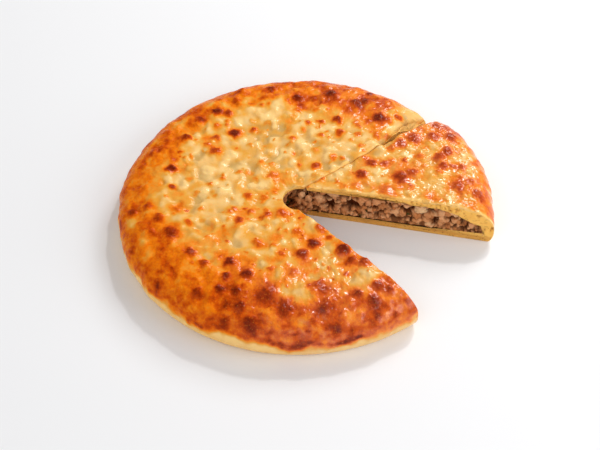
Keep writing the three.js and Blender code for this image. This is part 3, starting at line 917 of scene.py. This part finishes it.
class Crust:
    """The crust of a sector: outside, cut faces, hollow, and the walls of the hole or tip."""

    def __init__(self, sector, skin, spacing):
        self.sector = sector
        self.skin = skin
        self.spacing = spacing
        self.surface = Surface()
        steps = 2 * int(np.ceil(sector.sweep(PIE_RADIUS) * PIE_RADIUS / spacing / 2))
        ends = np.array(EDGE_STEPS) / steps
        self.fine = np.concatenate([ends, np.arange(2, steps - 1) / steps, 1 - ends[::-1]])
        self.coarse = self.fine[::2]

    def count(self, length):
        return int(np.ceil(length / self.spacing))

    def gloss(self, x, y, depth, butter):
        """Share of the buttery coat at each place: the strongest of the things that make it shine."""
        level = LEVEL_GLOSS * smoothstep(depth, *LEVEL_DEPTHS)
        near = NEAR_GLOSS * smoothstep(-y, *NEAR_GLOSS_REACH) * smoothstep(x, *NEAR_GLOSS_SPAN)
        shine = np.maximum.reduce([smoothstep(x, *RIGHT_SPAN), level, near, butter])
        return self.sector.sheen * lerp(LEAST_GLOSS, 1.0, shine)

    def skin_rows(self, t, depth, z):
        """Adds rows of the outside at depths and heights: the plain section, wobbling a little at the rim,
        raised by the skin's relief, which starts just above the rim, and rounded down at the cuts."""
        sector = self.sector
        r = sector.outer(t) - depth
        plain = sector.place(t, r, z)
        x = plain[..., 0]
        y = plain[..., 1]
        side = (1 - smoothstep(depth, *WOBBLE_DEPTHS)) * smoothstep(z, *WOBBLE_HEIGHTS)
        points = sector.place(t, r + side * layered(x, y, WOBBLE), z)
        relief, dent, brown = self.skin.relief(plain, depth)
        raised = smoothstep(depth, *RELIEF_DEPTHS) * (z > RIM_WIDEST_HEIGHT)
        turn = sector.sweep(r) * r
        drop = edge_drop(t * turn, sector.edge_width(r)) + edge_drop((1 - t) * turn, EDGE_WIDTH)
        points[..., 2] += relief * raised - drop * smoothstep(z, *DROP_HEIGHTS)
        # Paler along the first cut: partly pale skin, partly painted light and sheen where the slice shades
        # the far cut
        gap = t * turn + layered(x, y, PALE_EDGE)
        pale = PALE_SHARE * (1 - smoothstep(gap, 0, sector.pale_width(r)))
        butter = self.skin.butter(plain)
        # The patches are paler: partly pale skin, partly a painted sheen
        bake = self.skin.browning(plain, depth) * (1 - pale) * (1 - PATCH_PALE_SKIN_AND_SHEEN * butter)
        bake = lerp(bake, 1.0, brown * smoothstep(z, *BLISTER_HEIGHTS))
        crumb = EDGE_CRUMB * (1 - smoothstep(gap, 0, EDGE_CRUMB_WIDTH))
        gloss = self.gloss(x, y, depth, butter)
        return self.surface.add(points, bake=bake, dent=dent * raised, crumb=crumb, moist=0.0, gloss=gloss)

    def outside(self):
        """The outside in three bands: underside, rim with shoulder, and top; gives its edges and columns."""
        sector = self.sector
        widths = sector.outer(self.coarse) - sector.inner(self.coarse)
        share = np.linspace(0, 1, UNDER_ROWS + 1)[:-1, None]
        under = self.skin_rows(self.coarse, lerp(widths, FOOT_DEPTH, share), 0 * share + 0 * widths)
        foot = np.linspace(0, np.pi / 2, self.count(FOOT_LENGTH))[:-1]
        turn = np.linspace(0, np.pi / 2, self.count(SHOULDER_LENGTH))[:-1]
        level = np.linspace(SHOULDER_DEPTH, KNEE_DEPTH, self.count(KNEE_DEPTH - SHOULDER_DEPTH))
        inwards = np.concatenate([SHOULDER_DEPTH * (1 - np.cos(turn)), level])
        depths = np.concatenate([FOOT_DEPTH * (1 - np.sin(foot)), inwards])
        heights = np.concatenate([RIM_WIDEST_HEIGHT * (1 - np.cos(foot)), top_height(inwards)])
        rim = self.skin_rows(self.fine, depths[:, None] + 0 * self.fine, heights[:, None] + 0 * self.fine)
        share = np.linspace(0, 1, self.count(PIE_RADIUS - KNEE_DEPTH - HOLE_RADIUS) + 1)[1:, None]
        inward = lerp(KNEE_DEPTH, widths, share)
        top = self.skin_rows(self.coarse, inward, top_height(inward))
        for band in (under, rim, top):
            self.surface.grid(band)
        self.surface.join(under[-1], rim[0])
        self.surface.join(rim[-1], top[0])
        columns = [np.concatenate([band[:, end] for band in (under, rim, top)]) for end in (0, -1)]
        self.stretch_ends = (0, len(under), len(under) + len(foot) + len(turn), len(columns[0]) - 1)
        return under[0], top[-1], columns

    def cut_face(self, t, column):
        """A cut face: points between the outside's column and the hollow's edge, sunk a little by pores."""
        surface = self.surface
        points = np.concatenate(surface.points)[column]
        bake = np.concatenate([values["bake"] for values in surface.values])[column]
        shares = []
        for start, end in zip(self.stretch_ends[:-1], self.stretch_ends[1:]):
            first = start if start == 0 else start + 1
            share = surface.shares(column[start : end + 1])
            shares.append(share[first - start :])
        edge = stretched(hollow_corners(self.sector, t), HOLLOW_BREAKS, shares)
        ends = np.linspace(0, 1, len(column))
        fade = smoothstep(np.minimum(ends, 1 - ends), *CUT_END_FADE)
        waves = fade * layered(edge[:, 0], edge[:, 1], HOLLOW_WAVES)
        inner = self.sector.place(t, edge[:, 0], edge[:, 1] + waves)
        share = np.linspace(0, 1, CUT_ROWS + 1)
        grid = lerp(points[:, None], inner[:, None], share[:, None])
        thick = np.linalg.norm(inner - points, axis=1)[:, None]
        along = np.hypot(grid[..., 0] - self.sector.origin[0], grid[..., 1] - self.sector.origin[1])
        spots = layered(along, grid[..., 2], PORE_SPOTS)
        low = 1 - smoothstep(grid[..., 2], *BOTTOM_CRUST)
        pores = smoothstep(spots + BOTTOM_PORES * low, *PORE_RANGE) * smoothstep(thick, *PORE_THICKNESS)
        pores = pores * self.sector.pores[int(t)]
        setting_in = np.minimum(1, CRUMB_SETTING_IN * share * (1 - share)) * fade[:, None]
        sunk = (PORE_DEPTH * pores + CRUMB_RELIEF * spots) * setting_in
        angle = np.radians(self.sector.direction(t, along))
        inwards = 1 if t == 0 else -1
        grid[..., 0] -= inwards * sunk * np.sin(angle)
        grid[..., 1] += inwards * sunk * np.cos(angle)
        beneath = smoothstep(share * thick, 0, SKIN_THICKNESS)
        crumb = lerp(SKIN_CRUMB, 1.0, beneath) * self.sector.crumb[int(t)]
        moist = smoothstep(share, *MOIST_SHARES) * (1 - smoothstep(thick, *MOIST_THICKNESS))
        # Pores and the bottom crust take the darker dough: painted shade in the pores, steamed dough in the
        # bottom
        damp = np.maximum(pores, BOTTOM_DAMP * low)
        rows = surface.add(grid, bake=bake[:, None], dent=damp, crumb=crumb, moist=moist, gloss=0.0)
        surface.grid(rows, flip=t == 0)
        return inner

    def hollow(self, edges):
        """The hollow: coarse rows from cut to cut, joined to the cut faces' edges; gives its two ends."""
        surface = self.surface
        t = self.coarse[1:-1]
        corners = hollow_corners(self.sector, t)
        values = {"bake": 0.0, "dent": 0.0, "crumb": 1.0, "moist": 1.0, "gloss": 0.0}
        rows = surface.add(self.sector.place(t, corners[..., 0], corners[..., 1]), **values)
        first, last = (surface.add(edge, **values) for edge in edges)
        surface.grid(rows, flip=True)
        surface.join(first, rows[:, 0])
        surface.join(rows[:, -1], last)
        return [np.concatenate([[first[end]], rows[end], [last[end]]]) for end in (0, -1)]

    def wall(self, upper, lower):
        """The wall between two edges round the hole or tip, from the upper edge to the lower."""
        points = np.concatenate(self.surface.points)
        share = np.linspace(0, 1, CUT_ROWS + 1)[:, None, None]
        grid = lerp(points[upper], points[lower], share)
        self.surface.grid(self.surface.add(grid, bake=0.1, dent=0.0, crumb=0.9, moist=0.5, gloss=0.0))

    def build(self, name, material):
        under_edge, top_edge, columns = self.outside()
        edges = [self.cut_face(t, column) for t, column in zip((0.0, 1.0), columns)]
        floor_edge, roof_edge = self.hollow(edges)
        self.wall(top_edge, roof_edge)
        self.wall(floor_edge, under_edge)
        return self.surface.build(name, material)


class Lumps:
    """Lumps of meat strewn over a face, each with its place, radius, reach outwards, tone and greenness.

    Radii and margins are shares of the lump size."""

    cover = 3.4
    margin = 0.4
    least_radius = 0.28
    radius_spread = 0.5
    tones = (0.15, 0.8)
    herb_share = 0.004
    herb_fade = (0.3, 1.0)
    roundness = 0.8

    # Crumbs along the foot
    foot_crumbs = 3
    crumb_heights = (-0.5 * MM, 2.5 * MM)
    crumb_radii = (0.16, 0.32)
    crumb_reach = (-1.0 * MM, 0.5 * MM)
    crumb_tones = (0.2, 0.7)

    # How noise pushes the lumps out of round, in lump sizes
    push_reach = 0.24
    push_size = 0.9
    fine_push = 0.8
    fine_push_size = 0.4

    # The bed under the crumbs, the finest grain, and the painted shade in the gaps and round each lump's
    # edge
    floor_depth = 1.5
    bed_depth = 0.8 * MM
    bed_slope = 0.9
    bed_relief = (0.5 * MM, 2.5 * MM)
    bed_tone = 0.3
    grain_relief = (0.45 * MM, 1.8 * MM)
    gap_start = 0.6 * MM
    gap_end = 1.2
    gap_edge = (0.45, 1.0)
    gap_edge_share = 0.75

    # Steps of the seed for pushes along the face, for finer pushes, and for the bed and the grain
    along_step = 3
    fine_step = 9
    bed_step = 15
    grain_step = 6

    def __init__(self, across, up, seed, chosen=()):
        self.look = bpy.context.scene.meat_pie_filling
        self.seed = seed
        self.foot = up[0]
        size = self.look.lump_size
        margin = self.margin * size
        rng = np.random.default_rng(seed)
        count = int(self.cover * (across[1] - across[0]) * (up[1] - up[0]) / size**2)
        strewn = [
            rng.uniform(across[0] - margin, across[1] + margin, count),
            rng.uniform(up[0] - margin, up[1] + margin, count),
            size * (self.least_radius + self.radius_spread * rng.uniform(0, 1, count) ** 2),
            -self.look.lump_depth * rng.uniform(0, 1, count),
            rng.uniform(*self.tones, count),
            rng.uniform(0, 1, count) < self.herb_share,
        ]
        count = int(self.foot_crumbs * (across[1] - across[0]) / size)
        crumbs = [
            rng.uniform(*across, count),
            self.foot + rng.uniform(*self.crumb_heights, count),
            size * rng.uniform(*self.crumb_radii, count),
            rng.uniform(*self.crumb_reach, count),
            rng.uniform(*self.crumb_tones, count),
            np.zeros(count),
        ]
        self.lumps = [*chosen, *np.stack(strewn, axis=-1), *np.stack(crumbs, axis=-1)]

    def push(self, u, v, seed):
        """How far noise pushes each place: a broad cloud and a finer one, scaled to the lumps."""
        size = self.look.lump_size
        broad = cloud(u, v, self.push_size * size, seed)
        fine = cloud(u, v, self.fine_push_size * size, seed + self.fine_step)
        return self.push_reach * size * (broad + self.fine_push * fine)

    def envelope(self, u, v):
        """How far out the lumps reach at each place, with tone, greenness and nearness to a gap, which is
        painted as shade.

        A lump is a flattened ball. Each place takes the lump that reaches furthest out there, after the
        places are pushed about by noise, which makes the lumps uneven. A bed lies under the crumbs."""
        across = u + self.push(u, v, self.seed)
        along = v + self.push(u, v, self.seed + self.along_step)
        out = np.full(u.shape, -self.floor_depth * self.look.lump_depth)
        tone = np.zeros(u.shape)
        green = np.zeros(u.shape)
        edge = np.ones(u.shape)
        for middle_u, middle_v, radius, reach, lump_tone, lump_green in self.lumps:
            share = ((across - middle_u) ** 2 + (along - middle_v) ** 2) / radius**2
            ball = reach - self.roundness * radius * (1 - np.sqrt(np.maximum(0, 1 - share)))
            nearer = (share < 1) & (ball > out)
            out = np.where(nearer, ball, out)
            tone = np.where(nearer, lump_tone, tone)
            green = np.where(nearer, lump_green * (1 - smoothstep(share, *self.herb_fade)), green)
            edge = np.where(nearer, share, edge)
        bed = layered(u, v, ((*self.bed_relief, self.seed + self.bed_step),)) - self.bed_depth
        bed = bed - self.bed_slope * np.maximum(0, v - self.foot)
        tone = np.where(bed > out, self.bed_tone, tone)
        grain = layered(u, v, ((*self.grain_relief, self.seed + self.grain_step),))
        out = np.maximum(out, bed) + grain
        deep = smoothstep(-out, self.gap_start, self.gap_end * self.look.lump_depth)
        return out, tone, green, np.maximum(deep, self.gap_edge_share * smoothstep(edge, *self.gap_edge))


def filling_corners(sector, t):
    """Corners of the filling's top at t, from its inner end to its outer one, as distances and heights."""
    inner = sector.inner(t) + FILLING_RECESS
    depths = SLOPE_DEPTHS.copy()
    depths[-1] += FILLING_CLEARANCE
    reach = np.concatenate([[inner], sector.outer(t) - depths])
    height = np.concatenate([[FILLING_HEIGHT], SLOPE_HEIGHTS]) - FILLING_CLEARANCE
    return reach, height


# Dough smeared over the filling at the far cut: its uneven lower edge, how that fades, and where it starts
SMEAR_EDGE = ((2 * MM, 7 * MM, 91),)
SMEAR_FADE = 2 * MM
SMEAR_REACH = (50 * MM, 75 * MM)

# How far a cut face of the filling is set in, and how that starts at the inner end
CUT_RECESS = 0.4 * MM
CUT_RECESS_START = (0, 12 * MM)


class Filling:
    """The minced meat of a sector: lumpy cut faces and inner end, and plain surfaces against the crust."""

    base = FILLING_BASE + FILLING_CLEARANCE

    def __init__(self, sector, steps, seed, chosen=(), smear=0.0):
        self.look = bpy.context.scene.meat_pie_filling
        self.sector = sector
        self.steps = np.linspace(0, 1, steps + 1)
        self.smear = smear
        self.surface = Surface()
        self.heights = np.linspace(0, 1, int(np.ceil((FILLING_HEIGHT - self.base) / self.look.spacing)) + 1)
        self.turn = sector.sweep(PIE_RADIUS)
        up = (self.base, FILLING_HEIGHT)
        reach = filling_corners(sector, 0.0)[0]
        self.first_lumps = Lumps((reach[0], reach[-1]), up, seed, chosen)
        self.last_lumps = Lumps((reach[0], reach[-1]), up, seed + 1)
        self.end_lumps = Lumps((0, self.turn * reach[0]), up, seed + 2)

    def cut_face(self, t, lumps, smear):
        """A cut face: columns from the base to the top, set in square to the cut by the meat's lumps.

        Dough is smeared over its upper edge towards the rim, where the cut dragged it down."""
        reach, height = filling_corners(self.sector, t)
        columns = int(np.ceil((reach[-1] - reach[0]) / self.look.spacing))
        r = np.linspace(reach[0], reach[-1], columns + 1)[:, None]
        top = np.interp(r, reach, height)
        z = lerp(self.base, top, self.heights)
        out, tone, green, gap = lumps.envelope(r + 0 * z, z)
        dough = 0 * z
        if smear:
            lower = z - top + layered(r + 0 * z, z, SMEAR_EDGE)
            dough = smoothstep(lower, -smear - SMEAR_FADE, -smear) * smoothstep(r, *SMEAR_REACH)
        shift = (CUT_RECESS - lerp(out, 0, dough)) * smoothstep(r, *CUT_RECESS_START)
        points = self.sector.place(t, r, z, shift if t == 0 else -shift)
        return self.surface.add(points, lump=tone, herb=green, gap=gap, dough=dough)

    def section(self, t):
        """The section at t as four rows: plain base, outer end and top, and the lumpy inner end."""
        reach, height = filling_corners(self.sector, t)
        z = lerp(self.base, height[0], self.heights)[::-1]
        out, tone, green, gap = self.end_lumps.envelope(0 * z + t * self.turn * reach[0], z)
        inner = reach[0] - out
        base = np.array([inner[-1], reach[-1]])
        top = np.append(reach[:0:-1], inner[0])
        plain = {"lump": 0.4, "herb": 0.0, "gap": 0.3, "dough": 0.0}
        lumpy = {"lump": tone, "herb": green, "gap": gap, "dough": 0.0}
        add = self.surface.add
        return [
            add(self.sector.place(t, base, 0 * base + self.base), **plain),
            add(self.sector.place(t, reach[-1], np.array([self.base, height[-1]])), **plain),
            add(self.sector.place(t, top, height[::-1]), **plain),
            add(self.sector.place(t, inner, z), **lumpy),
        ]

    def build(self, name, material):
        first = self.cut_face(0.0, self.first_lumps, self.smear)
        last = self.cut_face(1.0, self.last_lumps, 0.0)
        self.surface.grid(first, flip=True)
        self.surface.grid(last)
        ends = [[face[:, 0], face[-1], face[::-1, -1], face[0, ::-1]] for face in (first, last)]
        sections = [ends[0], *(self.section(t) for t in self.steps[1:-1]), ends[1]]
        for section, following in zip(sections[:-1], sections[1:]):
            for row, above in zip(following, section):
                self.surface.join(row, above)
        return self.surface.build(name, material)


def front_lumps():
    """The chosen lumps of the slice's front cut, with their places worked out from the picture."""
    table = np.array(FRONT_LUMPS, float)
    across, up = on_front_cut(table[:, 0], table[:, 1])
    rows = [across, up, table[:, 2] * MM, 0 * up + FRONT_LUMP_REACH, table[:, 3], table[:, 4]]
    return list(np.stack(rows, axis=-1))


# A lumpy ball: rings, sides, swing, shade, and for each part of the swing a weight and axis, rate and phase
BALL_RINGS = 12
BALL_SIDES = 20
BALL_SWING = 0.2
BALL_SHADE = 0.4
BALL_WAVES = (
    (1.0, (0, 3.3, 1), (1, 2.9, 2)),
    (0.7, (2, 5.1, 3), (0, 4.3, -1)),
    (0.4, (1, 9.1, -2), (2, 8.3, 1)),
)


def add_ball(surface, middle, radius, phase, **values):
    """Adds a lumpy ball: rings of points from pole to pole, whose radius swings with products of sines.

    It is painted darker below and where it is hollow: painted shade."""
    polar = np.linspace(0, np.pi, BALL_RINGS + 1)[:, None]
    around = np.linspace(0, 2 * np.pi, BALL_SIDES, endpoint=False)
    parts = (np.sin(polar) * np.cos(around), np.sin(polar) * np.sin(around), np.cos(polar))
    way = np.stack(np.broadcast_arrays(*parts), axis=-1)
    swing = np.zeros(way.shape[:-1])
    for weight, *waves in BALL_WAVES:
        sines = [np.sin(rate * way[..., axis] + lag * phase) for axis, rate, lag in waves]
        swing += weight * np.prod(sines, axis=0)
    points = middle + radius * (1 + BALL_SWING * swing)[..., None] * way
    # Painted shade below and in the hollows
    gap = np.clip(BALL_SHADE * (1 - way[..., 2]) * (1 - swing), 0, 1)
    rings = surface.add(points[1:-1], gap=gap[1:-1], **values)
    poles = surface.add(points[[0, -1], 0], gap=gap[[0, -1], 0], **values)
    closed = np.concatenate([rings, rings[:, :1]], axis=1)
    surface.grid(closed, flip=True)
    for pole, ring in zip(poles, (closed[0], closed[-1, ::-1])):
        surface.faces.append(np.stack([0 * ring[1:] + pole, ring[:-1], ring[1:]], axis=-1))


# The crust's finish: places of its colours from pale to dark, and sizes of its noises and cells
BAKE_STOPS = {
    "milky": 0.0,
    "cream": 0.1,
    "gold": 0.27,
    "orange": 0.5,
    "brown": 0.72,
    "russet": 0.87,
    "blister": 1.0,
}
BROAD_SIZE = 9 * MM
GRAIN_SIZE = 2.4 * MM
BUBBLE_SIZE = 2.6 * MM
PORE_SIZE = 2.2 * MM
BUTTER_SIZE = 13 * MM
CRACKLE_SIZE = 3.2 * MM
CELL_MIDDLE = (0.3, 0.1)
NOISE_MIDDLE = 0.5
BUTTER_RANGE = (0.4, 0.65)
GOLDEN_RANGE = (0.35, 0.7)

# Where in the baking the crust's grain, damp and painted dent shade, pale bubbles with painted glints,
# crackle and dullness set in, and how strong they are
GRAIN_BAKE = (0.0, 0.5)
DAMP_BAKE = (0.1, 0.4)
BUBBLE_BAKE = (0.3, 0.5)
BUBBLE_RELIEF_BAKE = (0.2, 0.6)
CRACKLE_BAKE = (0.2, 0.5)
DULL_BAKE = (0.6, 0.85)
BROAD_TONE = 0.2
GRAIN_TONE = 0.32
DAMP_SHARE = 0.7
BUBBLE_PAINTED_GLINT = 0.15
GOLDEN_CRUMB = 0.3
DULLNESS = 0.6
PORE_PAINTED_SHADE = 0.4
STEAMED_DENTS = 0.65
STEAMED_MOIST = 0.15
GRAIN_RELIEF = 0.25
BUBBLE_RELIEF = 0.5
CRUST_RELIEF = 0.7 * MM

# The meat's finish: places of its colours from dark to pale, sizes of its noises, and their strength
MEAT_STOPS = {"shade": 0.0, "meat": 0.3, "pink": 0.65, "pale": 1.0}
MEAT_BROAD_SIZE = 6 * MM
MEAT_GRAIN_SIZE = 1.6 * MM
MEAT_BROAD_TONE = 0.3
MEAT_GRAIN_TONE = 0.35
GAP_PAINTED_SHADE = 0.88
MEAT_RELIEF = 0.9 * MM


def crust_material():
    """Baked dough: cream to dark brown skin, damp where it is thin, with painted shade in its dents and
    painted glints on its bubbles, and pale porous crumb at the cuts, painted darker in the pores.
    """
    look = bpy.context.scene.meat_pie_crust
    finish = Finish("Baked crust")
    bake = finish.attribute("bake")
    dent = finish.attribute("dent")
    crumb = finish.attribute("crumb")
    moist = finish.attribute("moist")
    gloss = finish.attribute("gloss")
    broad = finish.noise(BROAD_SIZE, detail=4)
    grain = finish.noise(GRAIN_SIZE, detail=4, roughness=0.65)
    bubbles = finish.cells(BUBBLE_SIZE)
    pores = finish.cells(PORE_SIZE).rise(*CELL_MIDDLE)
    butter = finish.noise(BUTTER_SIZE).rise(*BUTTER_RANGE)
    tone = bake + (broad - NOISE_MIDDLE) * BROAD_TONE
    tone = tone + (grain - NOISE_MIDDLE) * GRAIN_TONE * bake.rise(*GRAIN_BAKE)
    skin = finish.ramp(tone, look, BAKE_STOPS)
    # Dents take the damp colour: partly thin skin over the filling, partly painted shade in the hollows
    skin = finish.mix(dent * (1 - bake.rise(*DAMP_BAKE)) * DAMP_SHARE, skin, look.damp)
    # Pale gold specks on the bubbles: painted glints
    painted_bubble_glints = bubbles.rise(*CELL_MIDDLE) * bake.rise(*BUBBLE_BAKE) * BUBBLE_PAINTED_GLINT
    skin = finish.mix(painted_bubble_glints, skin, look.gold)
    dough = finish.mix(broad.rise(*GOLDEN_RANGE) * GOLDEN_CRUMB, look.crumb, look.gold)
    # Darker dough: painted shade in the pores, steamed dough in the bottom crust and against the filling
    steamed_and_pore_shade = pores * PORE_PAINTED_SHADE + dent * STEAMED_DENTS + moist * STEAMED_MOIST
    dough = finish.mix(steamed_and_pore_shade, dough, look.steamed_and_pore_shade)
    crackle = (finish.noise(CRACKLE_SIZE, roughness=0.6) - NOISE_MIDDLE).math("ABSOLUTE")
    raised = (NOISE_MIDDLE - bubbles) * bake.rise(*BUBBLE_RELIEF_BAKE) * BUBBLE_RELIEF
    relief = grain * GRAIN_RELIEF + raised - crackle * bake.rise(*CRACKLE_BAKE) - pores * crumb
    dull = DULLNESS * bake.rise(*DULL_BAKE)
    return finish.output(
        Base_Color=finish.mix(crumb, skin, dough),
        Roughness=0.28 - 0.12 * butter + 0.35 * crumb,
        Specular_IOR_Level=0.03,
        Coat_Weight=gloss * (0.55 + 0.45 * butter) * (1 - crumb) * (1 - dull),
        Coat_Roughness=0.23,
        Coat_IOR=1.7,
        Subsurface_Weight=0.08,
        Subsurface_Radius=(0.005, 0.0025, 0.001),
        Subsurface_Scale=1.0,
        Normal=finish.bump(relief, CRUST_RELIEF),
    )


def mince_material():
    """Cooked minced meat: brown, pink and pale lumps, with painted shade in the gaps, with green herb and
    dough.
    """
    look = bpy.context.scene.meat_pie_filling
    finish = Finish("Minced meat")
    grain = finish.noise(MEAT_GRAIN_SIZE, detail=4, roughness=0.65)
    broad = finish.noise(MEAT_BROAD_SIZE, detail=2)
    tone = finish.attribute("lump") + (broad - NOISE_MIDDLE) * MEAT_BROAD_TONE
    tone = tone + (grain - NOISE_MIDDLE) * MEAT_GRAIN_TONE
    meat = finish.ramp(tone, look, MEAT_STOPS)
    # Painted shade in the gaps, at each lump's edge and where the meat lies deep
    colour = finish.mix(finish.attribute("gap") * GAP_PAINTED_SHADE, meat, look.dark)
    colour = finish.mix(finish.attribute("herb"), colour, look.herb)
    colour = finish.mix(finish.attribute("dough"), colour, bpy.context.scene.meat_pie_crust.crumb)
    return finish.output(
        Base_Color=colour,
        Roughness=0.42 + 0.3 * grain,
        Specular_IOR_Level=0.08,
        Subsurface_Weight=0.08,
        Subsurface_Radius=(0.003, 0.0015, 0.001),
        Subsurface_Scale=1.0,
        Normal=finish.bump(grain, MEAT_RELIEF),
    )


def floor_material():
    look = bpy.context.scene.meat_pie_stage
    finish = Finish("Pale floor")
    return finish.output(Base_Color=(*look.floor, 1.0), Roughness=0.6)


def dress(piece, node):
    """Lets a piece stand for a node of the frame, which it hides, and ride with the frame's body."""
    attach(piece, BODY)
    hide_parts(node)


class MEATPIE_OT_crusts(bpy.types.Operator):
    """Builds the baked crusts of the pie and of the slice"""

    bl_idname = "meat_pie.crusts"
    bl_label = "Baked Crusts"

    def execute(self, context):
        spacing = context.scene.meat_pie_crust.spacing
        material = crust_material()
        pie = PieSector()
        skin = Skin(
            pie, PIE_BLISTERS, PIE_PATCHES, extra=380, seed=7, warmth=0.18, rim_bake=0.53, creased=0.25
        )
        dress(Crust(pie, skin, spacing).build("baked_pie_crust", material), "pie_crust")
        cut = SliceSector()
        skin = Skin(
            cut, SLICE_BLISTERS, SLICE_PATCHES, extra=60, seed=8, warmth=0.29, rim_bake=0.45, creased=0.8
        )
        slice_crust = Crust(cut, skin, SLICE_FINENESS * spacing).build("baked_slice_crust", material)
        dress(slice_crust, "slice_crust")
        return {"FINISHED"}


class MEATPIE_OT_fillings(bpy.types.Operator):
    """Builds the minced meat of the pie and of the slice, and the lumps at the slice's tip"""

    bl_idname = "meat_pie.fillings"
    bl_label = "Minced Fillings"

    def execute(self, context):
        material = mince_material()
        pie = Filling(PieSector(), steps=120, seed=100, smear=10 * MM)
        dress(pie.build("pie_mince", material), "pie_filling")
        cut = Filling(SliceSector(), steps=20, seed=200, chosen=front_lumps())
        dress(cut.build("slice_mince", material), "slice_filling")
        self.tip(material)
        return {"FINISHED"}

    def tip(self, material):
        """Lumpy balls that overlap the slice's tip and each other."""
        surface = Surface()
        for number, (x, y, z, radius, tone) in enumerate(TIP_LUMPS):
            middle = np.array([x, y, z]) * MM
            add_ball(surface, middle, radius * MM, TIP_PHASE * number, lump=tone, herb=0.0, dough=0.0)
        piece = surface.build("tip_lumps", material)
        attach(piece, BODY)


# The floor's reach each way, its squares and how far below the pie it lies, and each light's place and size
FLOOR_REACH = 4.0
FLOOR_SQUARES = 8
FLOOR_DROP = 0.2 * MM
LIGHTS = {
    "Key": ((0.95, 1.4, 1.25), 0.7),
    "Spark": ((0.55, 1.15, 1.35), 0.1),
    "Side": ((1.5, -0.4, 0.9), 1.2),
    "Front": ((-0.9, -1.7, 0.9), 3.0),
}


class MEATPIE_OT_stage(bpy.types.Operator):
    """Builds the floor, the soft lights and the camera"""

    bl_idname = "meat_pie.stage"
    bl_label = "Stage"

    def execute(self, context):
        self.floor()
        self.lights(context.scene)
        self.camera(context.scene)
        return {"FINISHED"}

    def floor(self):
        """A level sheet just below the pie, wide enough for any view."""
        surface = Surface()
        places = np.linspace(-FLOOR_REACH, FLOOR_REACH, FLOOR_SQUARES + 1)
        x, y = np.meshgrid(places, places)
        surface.grid(surface.add(np.stack([x, y, 0 * x - FLOOR_DROP], axis=-1)))
        surface.build("floor", floor_material())

    def lights(self, scene):
        """An even surround, and square lights that face the part's origin."""
        look = scene.meat_pie_stage
        world = bpy.data.worlds.new("Studio")
        world.use_nodes = True
        background = world.node_tree.nodes["Background"]
        background.inputs["Color"].default_value = (1.0, 1.0, 1.0, 1.0)
        background.inputs["Strength"].default_value = look.surround
        scene.world = world
        for name, (place, size) in LIGHTS.items():
            lamp = bpy.data.lights.new(name, "AREA")
            lamp.size = size
            lamp.energy = getattr(look, name.lower())
            light = bpy.data.objects.new(name, lamp)
            light.location = place
            light.rotation_mode = "QUATERNION"
            light.rotation_quaternion = Vector(place).to_track_quat("Z", "Y")
            scene.collection.objects.link(light)

    def camera(self, scene):
        """The camera, turned about its target by its elevation."""
        lift = np.radians(CAMERA_ELEVATION)
        back = Vector((0, -np.cos(lift), np.sin(lift)))
        data = bpy.data.cameras.new("Camera")
        data.lens = LENS
        data.sensor_width = SENSOR_WIDTH
        camera = bpy.data.objects.new("Camera", data)
        camera.location = Vector(CAMERA_TARGET) + CAMERA_DISTANCE * back
        camera.rotation_mode = "QUATERNION"
        camera.rotation_quaternion = back.to_track_quat("Z", "Y")
        scene.collection.objects.link(camera)
        scene.camera = camera
        scene.view_settings.view_transform = "Standard"


class MEATPIE_PT_panel(bpy.types.Panel):
    """Lists the steps that build the pie, and what may be changed before them"""

    bl_idname = "MEATPIE_PT_panel"
    bl_label = "Meat Pie"
    bl_space_type = "VIEW_3D"
    bl_region_type = "UI"
    bl_category = "Meat Pie"

    def draw(self, context):
        for step, look in STEPS:
            box = self.layout.box()
            settings = getattr(context.scene, look)
            for name in settings.__annotations__:
                box.prop(settings, name)
            box.operator(step.bl_idname)


LOOKS = {
    "meat_pie_crust": MeatPieCrustLook,
    "meat_pie_filling": MeatPieFillingLook,
    "meat_pie_stage": MeatPieStageLook,
}
STEPS = (
    (MEATPIE_OT_crusts, "meat_pie_crust"),
    (MEATPIE_OT_fillings, "meat_pie_filling"),
    (MEATPIE_OT_stage, "meat_pie_stage"),
)
CLASSES = (*LOOKS.values(), *(step for step, look in STEPS), MEATPIE_PT_panel)


def register():
    for item in CLASSES:
        bpy.utils.register_class(item)
    for name, look in LOOKS.items():
        setattr(bpy.types.Scene, name, bpy.props.PointerProperty(type=look))


def unregister():
    for name in LOOKS:
        delattr(bpy.types.Scene, name)
    for item in reversed(CLASSES):
        bpy.utils.unregister_class(item)


def main():
    register()
    bpy.ops.meat_pie.crusts()
    bpy.ops.meat_pie.fillings()
    bpy.ops.meat_pie.stage()


if __name__ == "__main__":
    main()
